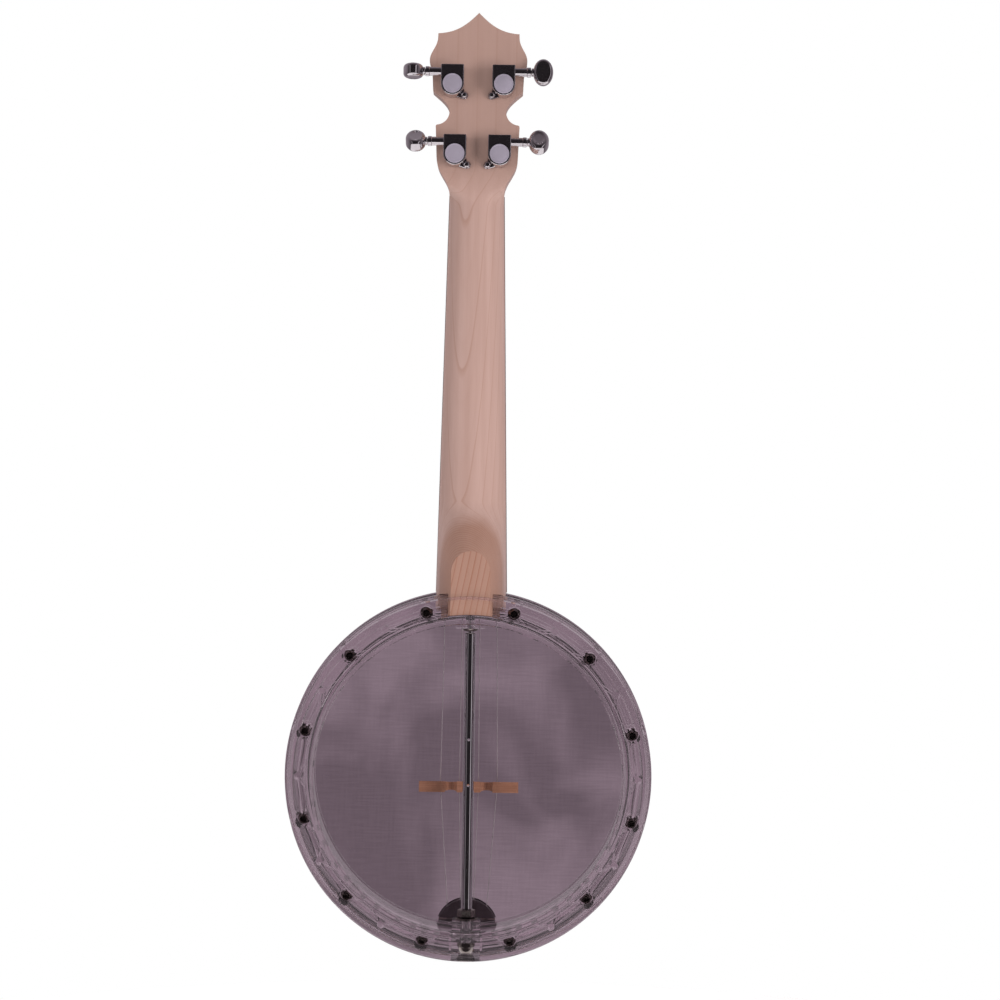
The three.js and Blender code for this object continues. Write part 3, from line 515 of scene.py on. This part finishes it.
def moved(form, shift=(0, 0, 0), turn=None, stretch=None):
    """Stretches, then turns by (degrees, axis), then shifts by millimetres."""
    matrix = Matrix.Translation(Vector(shift) * MM)
    if turn:
        matrix = matrix @ Matrix.Rotation(math.radians(turn[0]), 4, turn[1])
    if stretch:
        matrix = matrix @ Matrix.Diagonal((*stretch, 1))
    bmesh.ops.transform(form, matrix=matrix, verts=form.verts)
    return tidied(form)


def bar(axis, radius, start, end, centre=(0, 0, 0), sides=ROUND_SIDES):
    """A round bar along an axis, in millimetres."""
    form = turned([(0, start), (radius, start), (radius, end), (0, end)], sides)
    turns = {"X": (-90, "Z"), "Y": None, "Z": (90, "X")}
    return moved(form, centre, turns[axis])


def block(low, high):
    """The box between two corners in millimetres."""
    form = bmesh.new()
    bmesh.ops.create_cube(form, size=MM)
    size = Vector(high) - Vector(low)
    return moved(form, (Vector(high) + Vector(low)) / 2, stretch=size)


def together(forms):
    """One mesh of several bodies that lie apart from each other."""
    whole = bmesh.new()
    for form in forms:
        mesh = bpy.data.meshes.new("part")
        form.to_mesh(mesh)
        form.free()
        whole.from_mesh(mesh)
        bpy.data.meshes.remove(mesh)
    return whole


def loose_object(form):
    """A body as an object for a boolean step; shaped() removes it again."""
    mesh = bpy.data.meshes.new("tool")
    form.to_mesh(mesh)
    form.free()
    tool = bpy.data.objects.new("tool", mesh)
    bpy.context.scene.collection.objects.link(tool)
    return tool


def shaped(form, *steps):
    """Applies (operation, body) steps to a closed body: UNION, DIFFERENCE or INTERSECT."""
    base = loose_object(form)
    tools = [loose_object(body) for _, body in steps]
    for (operation, _), tool in zip(steps, tools):
        modifier = base.modifiers.new("shape", "BOOLEAN")
        modifier.operation = operation
        modifier.solver = "MANIFOLD"
        modifier.object = tool
    result = bmesh.new()
    result.from_object(base, bpy.context.evaluated_depsgraph_get())
    for item in (base, *tools):
        mesh = item.data
        bpy.data.objects.remove(item)
        bpy.data.meshes.remove(mesh)
    return result


def shade_smooth(piece, crease=32):
    """Smooth shading that keeps edges sharper than the crease, in degrees."""
    for face in piece.data.polygons:
        face.use_smooth = True
    piece.data.set_sharp_from_angle(angle=math.radians(crease))


def place_piece(name, form, body, slot, *nodes, crease=32):
    """A piece that rides on a body, in its slot's material, in place of the CAD nodes named."""
    mesh = bpy.data.meshes.new(name)
    form.to_mesh(mesh)
    form.free()
    mesh.materials.append(MATERIALS[slot])
    piece = bpy.data.objects.new(name, mesh)
    bpy.context.scene.collection.objects.link(piece)
    shade_smooth(piece, crease)
    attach(piece, body)
    if nodes:
        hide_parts(*nodes)
    return piece


# ------------------------------------------------------------------ the clear pot

POT_Z = -370
RIM_INNER, RIM_OUTER, RIM_BACK = 99.4, 102, 48
LIP_INNER, LIP_FRONT = 96.3, 42
SKIRT_INNER, SKIRT_OUTER = 108.5, 113.7
FLANGE_FRONT, FLANGE_BACK = 26, 28.5
BOLT_CIRCLE = 106.4
BOLT_SEAT = 30
WEB_THICKNESS, WEB_TOP = 1.4, 43
HEEL_HALF_WIDTH = 13.9
PAD_HALF, PAD_FACE, PAD_END = 9, 92.7, 102.2
PAD_FRONT = 14
NUT_ROOM_FRONT, NUT_ROOM_END = 25, 113
SLOT_LIP_INNER, SLOT_LIP_FRONT = 111.9, 45.4
HOOP_OUTER, HOOP_BORE = 116.5, 103.7
GROOVE_STARTS, GROOVE_FLOOR = (6.2, 9.6), 116
SEAT_RADIUS, POCKET_RADIUS, BOLT_HOLE_RADIUS = 5, 4.3, 2.3
POST_RADIUS, POST_BACK = 2.3, 44
BRACE_SPREAD = 0.095
BOLT_COUNT, BOLT_STEP = 12, 30
BOLT_ANGLES = [math.radians(BOLT_STEP * (i + 0.5)) for i in range(BOLT_COUNT)]
POST_ANGLES = [math.radians(BOLT_STEP * i) for i in range(BOLT_COUNT)]


def pot_point(radius, angle):
    """A point at a radius from the pot's axis, at an angle from the neck."""
    return radius * math.sin(angle), 0, POT_Z + radius * math.cos(angle)


def pot_ring(profile):
    """A body turned round the pot's axis."""
    return moved(turned(profile, RING_SIDES), (0, 0, POT_Z))


def pot_disc(radius, start, end):
    return moved(bar("Y", radius, start, end, sides=RING_SIDES), (0, 0, POT_Z))


def circle_of_bars(angles, radius, start, end, sides=32):
    """One bar along y at each angle round the bolt circle."""
    return [bar("Y", radius, start, end, pot_point(BOLT_CIRCLE, a), sides) for a in angles]


def web(start, end):
    """A straight upright web on the flange between two points."""
    (x0, _, z0), (x1, _, z1) = start, end
    half = math.hypot(x1 - x0, z1 - z0) / 2
    form = block((-half, FLANGE_BACK - 0.4, -WEB_THICKNESS / 2), (half, WEB_TOP, WEB_THICKNESS / 2))
    turn = -math.degrees(math.atan2(z1 - z0, x1 - x0))
    return moved(form, ((x0 + x1) / 2, 0, (z0 + z1) / 2), (turn, "Y"))


def rim_section():
    """The ring's outline as (radius, y) points: wall, back lip, flange, stepped skirt and front."""
    wall = [(RIM_INNER, 3.4), (RIM_INNER, 12), (RIM_INNER - 0.3, 12.3), (RIM_INNER - 0.3, LIP_FRONT)]
    lip = [(LIP_INNER + 0.3, LIP_FRONT), (LIP_INNER, 42.4), (LIP_INNER, 47.4), (96.9, RIM_BACK)]
    back = [(98.4, RIM_BACK), (98.6, 47.8), (101.4, 47.8), (RIM_OUTER, 47.3)]
    channel = [(RIM_OUTER, FLANGE_BACK), (SKIRT_INNER, FLANGE_BACK)]
    skirt = [(SKIRT_INNER, 47.4), (109.1, RIM_BACK), (112.9, RIM_BACK), (SKIRT_OUTER, 47.2)]
    ledges = [(114.1, 41), (114.6, 40.6), (114.9, 34), (115.4, 33.6), (115.6, 30), (115.6, FLANGE_FRONT)]
    front = [(RIM_OUTER, FLANGE_FRONT), (RIM_OUTER, 3.5), (101.5, 2.9), (99.9, 2.9)]
    return wall + lip + back + channel + skirt + ledges + front


def rim_additions():
    """Bolt seats and posts, the rod's pads, the webs, and the side walls of the outer nut's room."""
    seats = circle_of_bars(BOLT_ANGLES, SEAT_RADIUS, FLANGE_FRONT + 0.5, BOLT_SEAT)
    posts = circle_of_bars(POST_ANGLES, POST_RADIUS, FLANGE_FRONT + 0.5, POST_BACK)
    pads = [
        block((-PAD_HALF, PAD_FRONT, POT_Z - PAD_END), (PAD_HALF, FLANGE_BACK, POT_Z - PAD_FACE)),
        block((-PAD_HALF, PAD_FRONT, POT_Z + PAD_FACE), (PAD_HALF, FLANGE_BACK, POT_Z + RIM_OUTER - 1.5)),
    ]
    bodies = [together(seats + posts), together(pads)]
    for side in (-1, 1):
        spread = BRACE_SPREAD * side
        reach = side * math.radians(BOLT_STEP / 2)
        braces = [web(pot_point(BOLT_CIRCLE - 1, a), pot_point(RIM_OUTER - 0.6, a + spread))
                  for a in BOLT_ANGLES + POST_ANGLES]
        chords = [web(pot_point(BOLT_CIRCLE, a), pot_point(BOLT_CIRCLE, a + reach)) for a in BOLT_ANGLES]
        x = side * (PAD_HALF + WEB_THICKNESS / 2)
        room_wall = web((x, 0, POT_Z - RIM_OUTER + 1), (x, 0, POT_Z - SKIRT_INNER - 1))
        bodies += [together(braces), together(chords), room_wall]
    return bodies


def rim_openings():
    """Bolt pockets and holes, the rod's hole, the outer nut's room and the heel's slot."""
    pockets = circle_of_bars(BOLT_ANGLES, POCKET_RADIUS, BOLT_SEAT, 50)
    holes = circle_of_bars(BOLT_ANGLES, BOLT_HOLE_RADIUS, 20, 40, sides=24)
    rod_hole = bar("Z", RIM_BORE, POT_Z - 105, POT_Z + 105, (0, ROD_Y, 0), 32)
    room = block((-PAD_HALF, NUT_ROOM_FRONT, POT_Z - NUT_ROOM_END), (PAD_HALF, 50, POT_Z - PAD_END))
    return [together(pockets), together(holes), rod_hole, room, heel_slot()]


def make_rim():
    """The clear ring: its section turned round, with its bodies joined on and its openings cut."""
    unions = [("UNION", body) for body in rim_additions()]
    cuts = [("DIFFERENCE", body) for body in rim_openings()]
    rim = shaped(pot_ring(rim_section()), *unions, *cuts)
    place_piece("rim", rim, "frame", "clear_pot", "rim_shell", crease=15).visible_shadow = False


def heel_slot():
    """The part of the ring that the heel fills, under a thin lip of the skirt."""
    half = HEEL_HALF_WIDTH + 0.4
    slot = block((-half, FLANGE_FRONT - 1, POT_Z + 98), (half, RIM_BACK + 1, POT_Z + 117))
    corners = ((SLOT_LIP_INNER, SLOT_LIP_FRONT), (120, SLOT_LIP_FRONT), (120, 60), (SLOT_LIP_INNER, 60))
    lip = pot_ring(corners)
    wall = pot_disc(RIM_OUTER, 0, 60)
    return shaped(slot, ("DIFFERENCE", lip), ("DIFFERENCE", wall))


def make_tension_hoop():
    """Clear hoop with turned grooves outside, and a blind boss for each bolt."""
    face = [(99, -0.2), (99.4, -0.5), (112.6, -0.5), (113.6, -0.2), (116.1, 3.2), (HOOP_OUTER, 4)]
    grooves = []
    for y in GROOVE_STARTS:
        grooves += [(HOOP_OUTER, y), (GROOVE_FLOOR, y + 0.3), (GROOVE_FLOOR, y + 0.7), (HOOP_OUTER, y + 1)]
    back = [(HOOP_OUTER, 12.6), (116.1, 13), (113.2, 13), (113.2, 4.5), (105, 4.5), (105, 11)]
    inner = [(HOOP_BORE, 11), (HOOP_BORE, 1.9), (99, 1.9)]
    hoop = pot_ring(face + grooves + back + inner)
    bosses = circle_of_bars(BOLT_ANGLES, 4, 4, 13)
    holes = circle_of_bars(BOLT_ANGLES, BOLT_HOLE_RADIUS, 5, 14, sides=24)
    head_space = pot_disc(HOOP_BORE, 3, 20)
    hoop = shaped(
        hoop,
        ("UNION", together(bosses)),
        ("DIFFERENCE", together(holes)),
        ("DIFFERENCE", head_space),
    )
    place_piece("hoop", hoop, "frame", "clear_pot", "tension_hoop", crease=15).visible_shadow = False


def make_head():
    """The film, and the metal hoop that holds its edge."""
    film = pot_ring([(0, 2.2), (102.9, 2.2), (103.2, 2.3), (103.2, 2.5), (102.9, 2.6), (0, 2.6)])
    place_piece("head_film", film, "frame", "head_film", "head", crease=10).visible_shadow = False
    ring = [(102.3, 3.2), (102.6, 2.9), (103.1, 2.9), (103.4, 3.2), (103.4, 7.7), (103.1, 8)]
    ring = pot_ring(ring + [(102.6, 8), (102.3, 7.7)])
    place_piece("head_hoop", ring, "frame", "flesh_hoop", "flesh_hoop")


def make_bolts():
    """Screws with a flange under a round head, and a deep hexagon socket."""
    seat = BOLT_SEAT + 0.3
    for i, angle in enumerate(BOLT_ANGLES):
        shank = [(0, 5.5), (1.6, 5.5), (1.9, 6), (1.9, seat)]
        collar = [(3.7, seat), (4, seat + 0.3), (4, seat + 0.9), (3.7, seat + 1.2), (3, seat + 1.5)]
        head = turned(shank + collar + [(3, 38.2), (2.75, 39), (2.2, 39.5), (0, 39.5)], 48)
        socket = layered(ellipse(1.5, 1.5, 6), [(35.8, 0), (41, 0)])
        chamfer = turned([(0, 38.7), (1.4, 38.7), (2.1, 39.7), (0, 39.7)], 48)
        bolt = shaped(head, ("DIFFERENCE", socket), ("DIFFERENCE", chamfer))
        bolt = moved(bolt, pot_point(BOLT_CIRCLE, angle), (math.degrees(angle), "Y"))
        name = f"hoop_bolt_{i + 1:02d}"
        place_piece(f"{name}_screw", bolt, "frame", "bolts", name)


# ------------------------------------------------------------------ coordinator rod

ROD_Y = 20.8
STUD_BORE, RIM_BORE = 2.7, 2.9


def on_rod(form):
    """Lays a body turned round the y axis along the rod's axis."""
    return moved(form, (0, ROD_Y, 0), (90, "X"))


def make_rod():
    """A bright bar with a thinner stud at either end, and two small cross holes."""
    stud_end = [(0, -482.9), (2, -482.9), (2.4, -482.3), (2.4, -455.8)]
    shaft = [(3.2, -455.8), (3.6, -455.3), (3.6, -280.9), (3.2, -280.4)]
    rod = on_rod(turned(stud_end + shaft + [(2.4, -280.4), (2.4, -259), (0, -258)]))
    holes = [bar("Y", 0.9, 10, 30, (0, 0, z), 24) for z in (-348, -377)]
    rod = shaped(rod, ("DIFFERENCE", together(holes)))
    place_piece("rod", rod, "frame", "chrome", "coordinator_rod")


def make_end_nuts():
    """The collar at the neck, and the nuts and washers either side of the rim's foot."""
    bore = STUD_BORE
    hexagon = layered(ellipse(5.77, 5.77, 6), [(-461, 0.5), (-460.5, 0), (-456.6, 0), (-456.1, 0.5)])
    nut = on_rod(shaped(hexagon, ("DIFFERENCE", bar("Y", bore, -470, -450))))
    place_piece("inner_nut", nut, "frame", "steel", "rod_inner_nut")
    washer = [(bore, -462.4), (7, -462.4), (7.2, -462.2), (7.2, -461.4), (7, -461.2), (bore, -461.2)]
    place_piece("inner_washer", on_rod(turned(washer)), "frame", "steel", "rod_inner_washer")
    collar = [(bore, -279.3), (3.9, -279.3), (5.2, -277.9), (5.4, -277.6), (bore, -277.6)]
    place_piece("rod_ferrule", on_rod(turned(collar)), "frame", "steel", "rod_collar")
    ring = [(bore, -475), (5.5, -475), (5.7, -474.8), (5.7, -474.2), (5.5, -474), (bore, -474)]
    place_piece("outer_washer", on_rod(turned(ring)), "frame", "steel", "rod_outer_washer")
    dome = [(0, -484.9), (1.6, -484.7), (2.9, -484), (4, -482.8), (4.7, -481.2), (4.9, -479.9)]
    dome = turned(dome + [(4.9, -478.5), (0, -478.5)])
    base = layered(ellipse(5.6, 5.6, 6), [(-479.9, 0.4), (-479.5, 0), (-475.7, 0), (-475.3, 0.4)])
    acorn = shaped(base, ("UNION", dome), ("DIFFERENCE", bar("Y", bore, -483.6, -470)))
    place_piece("acorn_nut", on_rod(acorn), "frame", "steel", "rod_acorn_nut")


# ------------------------------------------------------------------ neck

NUT_HALF_WIDTH = 17.5
NECK_TAPER = 0.0201
NECK_END = -290
SHAFT_DEPTH, SHAFT_GAIN, SHAFT_LENGTH = 15.8, 2.7, 190
HEEL_START, HEEL_CURVE, HEEL_DEPTH = -196, 46, 52.5
HEEL_FACET = 45
HEADSTOCK_FRONT, HEADSTOCK_BACK = 7, 20
SECTION_GAP, SECTION_COUNT = 1.5, 217
BOARD_FRONT = -4
STRING_LENGTH = 381
FRET_COUNT = 17
# Each tuner's side of the headstock, its distance from the middle and its height.
TUNER_PLACES = {"g": (-1, 14.1, 22.6), "c": (-1, 16.2, 66.8), "e": (1, 16.2, 66.8), "a": (1, 14.1, 22.6)}


def smoothstep(value, low, high):
    """0 below the low end, 1 above the high end, and an easy slope between."""
    share = min(1, max(0, (value - low) / (high - low)))
    return share * share * (3 - 2 * share)


def curve_points(start, first, second, end, steps=14):
    """Points of a cubic curve after its start."""
    points = []
    for i in range(1, steps + 1):
        t = i / steps
        weights = ((1 - t) ** 3, 3 * t * (1 - t) ** 2, 3 * t * t * (1 - t), t ** 3)
        corners = (start, first, second, end)
        points.append(sum((Vector(c) * w for c, w in zip(corners, weights)), Vector((0, 0))))
    return points


def headstock_edge():
    """The +X edge of the headstock, from the nut to the point at its top."""
    curves = [
        ((17.9, 9), (25.4, 9.5), (25.9, 22)),
        ((26.13, 28), (26.37, 34), (26.6, 40.2)),
        ((26.8, 41.6), (26.5, 42.37), (25.6, 42.4)),
        ((21.5, 42.9), (18.3, 46), (18, 50.5)),
        ((18.3, 55.5), (23.5, 59.3), (28.6, 63.6)),
        ((28.77, 67), (28.93, 70.6), (29.1, 74)),
        ((29.1, 78), (31, 79), (31, 83.2)),
        ((31, 88.5), (26.3, 91.5), (25.9, 97.5)),
        ((25.87, 98.5), (25.83, 99.4), (25.8, 100.4)),
        ((14, 101), (7.5, 106), (0, 113.7)),
    ]
    points = [Vector((NUT_HALF_WIDTH, -1))]
    for first, second, end in curves:
        points += curve_points(points[-1], first, second, end)
    return points


def neck_section(z):
    """Half width, depth and squareness of the neck's back at a height."""
    swell = smoothstep(HEEL_START - z, 0, HEEL_CURVE)
    shaft = SHAFT_DEPTH + SHAFT_GAIN * min(1, max(0, -z / SHAFT_LENGTH))
    to_head = smoothstep(z, -10, 17)
    depth = shaft + (HEADSTOCK_BACK - shaft) * to_head
    depth += (HEEL_DEPTH - depth) * swell
    half = NUT_HALF_WIDTH - NECK_TAPER * min(z, 0) + 0.15 + 24 * to_head ** 2
    return half, depth, 2.1 + 18 * to_head ** 2


def carved_blank():
    """A skin over superellipse sections, closed at both ends."""
    steps = 72
    heights = [NECK_END + SECTION_GAP * i for i in range(SECTION_COUNT)] + [37, 118]
    form = bmesh.new()
    rings = []
    for z in heights:
        half, depth, power = neck_section(z)
        ring = [form.verts.new(Vector((x, -2, z)) * MM) for x in (-half, half)]
        for i in range(steps + 1):
            angle = math.pi * i / steps
            across = math.copysign(abs(math.cos(angle)) ** (2 / power), math.cos(angle))
            deep = max(0, math.sin(angle)) ** (2 / power)
            ring.append(form.verts.new(Vector((half * across, depth * deep, z)) * MM))
        rings.append(ring)
    for low, high in zip(rings, rings[1:]):
        for i in range(len(low)):
            j = (i + 1) % len(low)
            form.faces.new((low[i], low[j], high[j], high[i]))
    form.faces.new(rings[0])
    form.faces.new(rings[-1])
    return tidied(form)


def pot_room():
    """What the pot takes out of the neck's lower end, which leaves the tenon between its walls."""
    hoop_room = pot_disc(106.5, 12.3, FLANGE_FRONT)
    skirt_room = pot_disc(116, FLANGE_FRONT - 0.4, 60)
    return [
        pot_disc(117, -10, 13.3),
        pot_disc(102.3, 12.3, 60),
        shaped(hoop_room, ("DIFFERENCE", tenon(18.5))),
        shaped(skirt_room, ("DIFFERENCE", tenon(HEEL_HALF_WIDTH))),
    ]


def tenon(half):
    """A block over the tenon, from before the neck's front to past its back."""
    return block((-half, 0, POT_Z), (half, 60, 0))


def head_recess():
    """The front of the headstock lies lower than the fingerboard, down a short ramp."""
    outline = [(5.1, -5), (5.1, 1), (12, HEADSTOCK_FRONT), (130, HEADSTOCK_FRONT), (130, -5)]
    form = bmesh.new()
    sides = [[form.verts.new(Vector((x, y, z)) * MM) for z, y in outline] for x in (-50, 50)]
    for i in range(len(outline)):
        j = (i + 1) % len(outline)
        form.faces.new((sides[0][i], sides[0][j], sides[1][j], sides[1][i]))
    form.faces.new(sides[0])
    form.faces.new(sides[1])
    return tidied(form)


def make_neck():
    """The carved blank inside the headstock's outline, with its facet, recess, holes and tenon."""
    end_half = NUT_HALF_WIDTH - NECK_TAPER * NECK_END
    right = [Vector((end_half, NECK_END)), *headstock_edge()]
    left = [Vector((-p.x, p.y)) for p in reversed(right[:-1])]
    outline = layered(right + left, [(0, 0), (60, 0)])
    facet = block((-40, HEEL_FACET, -300), (40, 80, -150))
    rod_hole = bar("Z", STUD_BORE, -280, -256, (0, ROD_Y, 0), 32)
    post_holes = []
    screw_holes = []
    for side, x, z in TUNER_PLACES.values():
        screw_place = (side * (x + SCREW_X), 0, z + SCREW_Z)
        post_holes.append(bar("Y", POST_HOLE_RADIUS, -1, 30, (side * x, 0, z), 48))
        screw_holes.append(bar("Y", SCREW_HOLE_RADIUS, 12, 30, screw_place, 16))
    cutters = [facet, head_recess(), rod_hole, *pot_room(), together(post_holes), together(screw_holes)]
    cuts = [("DIFFERENCE", cutter) for cutter in cutters]
    form = shaped(carved_blank(), ("INTERSECT", outline), *cuts)
    place_piece("neck_wood", form, "frame", "maple", "neck", crease=40)


def fret_place(n):
    return -STRING_LENGTH * (1 - 2 ** (-n / 12))


def make_frets():
    """Low rounded frets, half sunk in the fingerboard."""
    for n in range(1, FRET_COUNT + 1):
        half = NUT_HALF_WIDTH - NECK_TAPER * fret_place(n) + 0.1
        end = [(0, half), (0.7, half), (1.05, half - 0.6)]
        start = [(radius, -height) for radius, height in end]
        wire = turned(start + end[::-1], 24)
        wire = moved(wire, (0, BOARD_FRONT, fret_place(n)), (-90, "Z"))
        on_board = Matrix.Translation((0, -BOARD_FRONT * MM, 0))
        bmesh.ops.scale(wire, vec=(1, 0.75, 1), space=on_board, verts=wire.verts)
        place_piece(f"fret_{n:02d}", wire, "frame", "steel")


def make_position_dots():
    """Pale dots in the fingerboard: (fret, x) puts one midway between a fret and the one before."""
    dots = [(5, 0), (7, 0), (10, 0), (12, -6), (12, 6), (15, 0)]
    for i, (n, x) in enumerate(dots):
        middle = (fret_place(n) + fret_place(n - 1)) / 2
        dot = turned([(0, 0.6), (2.9, 0.6), (2.9, -0.02), (2.8, -0.06), (0, -0.08)], 48)
        place_piece(f"dot_{i + 1}", moved(dot, (x, BOARD_FRONT, middle)), "frame", "nut_plastic")


# ------------------------------------------------------------------ tuners

BUTTON_TURNS = {"g": 35, "c": 0, "e": 90, "a": 50}
WORM_Y, WORM_Z = 5.7, 8.2
SCREW_X, SCREW_Z = -7.5, -5.8
POST_HOLE_RADIUS, SCREW_HOLE_RADIUS = 4.5, 1.2


def on_headstock(form, tuner):
    """Moves a body drawn round its post, +X towards the button, to its tuner."""
    side, x, z = TUNER_PLACES[tuner]
    return moved(form, (side * x, HEADSTOCK_BACK, z), stretch=(side, 1, 1))


def case_outline(half, top, corner):
    """A round-bottomed case with eased upper corners."""
    lower = [math.pi + math.pi * i / 40 for i in range(41)]
    points = [Vector((half * math.cos(a), half * math.sin(a))) for a in lower]
    for centre_x, start in ((half - corner, 0), (corner - half, math.pi / 2)):
        arc = [start + math.pi / 2 * i / 8 for i in range(9)]
        centre_z = top - corner
        points += [Vector((centre_x + corner * math.cos(a), centre_z + corner * math.sin(a)))
                   for a in arc]
    return points


def teardrop():
    """The screw ear: a round end that widens into the case."""
    arc = [math.radians(95 + 200 * i / 24) for i in range(25)]
    ends = [Vector((SCREW_X + 2.5 * math.cos(a), SCREW_Z + 2.5 * math.sin(a))) for a in arc]
    return [Vector((-1, -6.4)), Vector((-1, 1)), Vector((-6.6, 1)), *ends]


def make_tuner_case(tuner):
    """A hollow case over the gear, with a screw ear and a sleeve round the worm's shaft."""
    case = layered(case_outline(7.3, 12.2, 0.8), eased(0.3, 10.5, 0.7, both=False, steps=6))
    ear = layered(teardrop(), [(0.3, 0), (1.7, 0), (2.1, 0.35)])
    sleeve = [(0, 6.8), (2.8, 6.8), (2.75, 14.6), (3.1, 14.9), (3.1, 16.9), (2.8, 17.2), (0, 17.2)]
    sleeve = moved(turned(sleeve), (0, WORM_Y, WORM_Z), (-90, "Z"))
    gear_room = bar("Y", 6.7, 3, 20)
    worm_room = bar("X", 3.4, -6.2, 6.2, (0, WORM_Y, WORM_Z), 48)
    shaft_hole = bar("X", 1.75, 5, 30, (0, WORM_Y, WORM_Z), 32)
    post_hole = bar("Y", 3.3, -1, 4)
    screw_hole = bar("Y", SCREW_HOLE_RADIUS, -1, 4, (SCREW_X, 0, SCREW_Z), 24)
    unions = [("UNION", ear), ("UNION", sleeve)]
    openings = (gear_room, worm_room, shaft_hole, post_hole, screw_hole)
    case = shaped(case, *unions, *[("DIFFERENCE", opening) for opening in openings])
    node = f"tuner_{tuner}_housing"
    place_piece(f"tuner_{tuner}_case", on_headstock(case, tuner), "frame", "chrome", node, crease=40)


def make_tuner_cap(tuner):
    """The satin disc in the case's back, with a turned line near its edge."""
    rim = [(0, 8.9), (6.2, 8.9), (6.2, 10.5), (6.1, 10.8), (5.8, 11), (5.5, 11)]
    cap = turned(rim + [(5.3, 10.85), (5.1, 10.85), (4.9, 10.95), (0, 10.98)], 96)
    name = f"tuner_{tuner}"
    place_piece(f"{name}_disc", on_headstock(cap, tuner), "frame", "cap_plate", f"{name}_cap")


def make_tuner_button(tuner):
    """A fat oval with softly dished faces, on a grooved collar."""
    rim = eased(-4.1, 4.1, 2.4, steps=8)
    levels = [(-3.75, 4.6), (-3.8, 3.6), (-4.0, 2.9), *rim, (4.0, 2.9), (3.8, 3.6), (3.75, 4.6)]
    knob = layered(ellipse(6.3, 8.2, 96, (24.9, 0)), levels)
    end = [(0, 17.5), (2.3, 17.5), (2.6, 17.8), (2.6, 18.7)]
    groove = [(2.3, 18.9), (2.3, 19.3), (2.6, 19.5)]
    collar = moved(turned(end + groove + [(2.6, 20.5), (0, 20.5)]), turn=(-90, "Z"))
    bore = bar("X", 1.8, 10, 20.5, sides=32)
    button = shaped(knob, ("UNION", collar), ("DIFFERENCE", bore))
    button = moved(button, (0, WORM_Y, WORM_Z), (BUTTON_TURNS[tuner], "X"))
    button = on_headstock(button, tuner)
    node = f"tuner_{tuner}_button"
    place_piece(f"{node}_oval", button, f"{tuner}_button", "chrome", node, crease=45)


def make_tuner_screw(tuner):
    """A small domed wood screw with a cross slot."""
    shank = [(0, -6.5), (0.9, -5.5), (0.9, 2.4), (1.9, 2.4), (2, 2.6)]
    dome = [(1.85, 3.1), (1.4, 3.5), (0.8, 3.75), (0, 3.8)]
    slots = [block((-1.2, 3.0, -0.2), (1.2, 5, 0.2)), block((-0.2, 3.0, -1.2), (0.2, 5, 1.2))]
    screw = shaped(turned(shank + dome, 32), *[("DIFFERENCE", slot) for slot in slots])
    screw = on_headstock(moved(screw, (SCREW_X, 0, SCREW_Z)), tuner)
    node = f"tuner_{tuner}_screw"
    place_piece(f"{node}_head", screw, "frame", "chrome", node)


def tube(points, radius, sides=10):
    """A closed round tube along points in millimetres."""
    form = bmesh.new()
    rings = []
    for i, point in enumerate(points):
        along = (points[min(i + 1, len(points) - 1)] - points[max(i - 1, 0)]).normalized()
        first = along.cross(Vector((0, 1, 0))).normalized()
        second = along.cross(first)
        angles = [math.tau * k / sides for k in range(sides)]
        spokes = [first * math.cos(a) + second * math.sin(a) for a in angles]
        rings.append([form.verts.new((point + spoke * radius) * MM) for spoke in spokes])
    for low, high in zip(rings, rings[1:]):
        for k in range(sides):
            form.faces.new((low[k], low[(k + 1) % sides], high[(k + 1) % sides], high[k]))
    form.faces.new(rings[0])
    form.faces.new(rings[-1])
    return tidied(form)


def make_winding(tuner):
    """Three turns of the string round the waist of its post."""
    turns, steps = 3, 96
    radius, front, width, string_radius = 2.66, -20.3, 1.7, 0.33
    points = []
    for i in range(steps + 1):
        angle = math.tau * turns * i / steps
        across, up = -radius * math.cos(angle), radius * math.sin(angle)
        points.append(Vector((across, front + width * i / steps, up)))
    coil = on_headstock(tube(points, string_radius), tuner)
    place_piece(f"string_{tuner}_winding", coil, f"{tuner}_post", "strings")


make_camera()
make_world()
make_lights()
make_floor()
MATERIALS = paint_cad_nodes()
make_rim()
make_tension_hoop()
make_head()
make_bolts()
make_rod()
make_end_nuts()
make_neck()
make_frets()
make_position_dots()
for tuner_name in TUNER_PLACES:
    make_tuner_case(tuner_name)
    make_tuner_cap(tuner_name)
    make_tuner_button(tuner_name)
    make_tuner_screw(tuner_name)
    make_winding(tuner_name)
bpy.context.scene.view_settings.view_transform = "Standard"
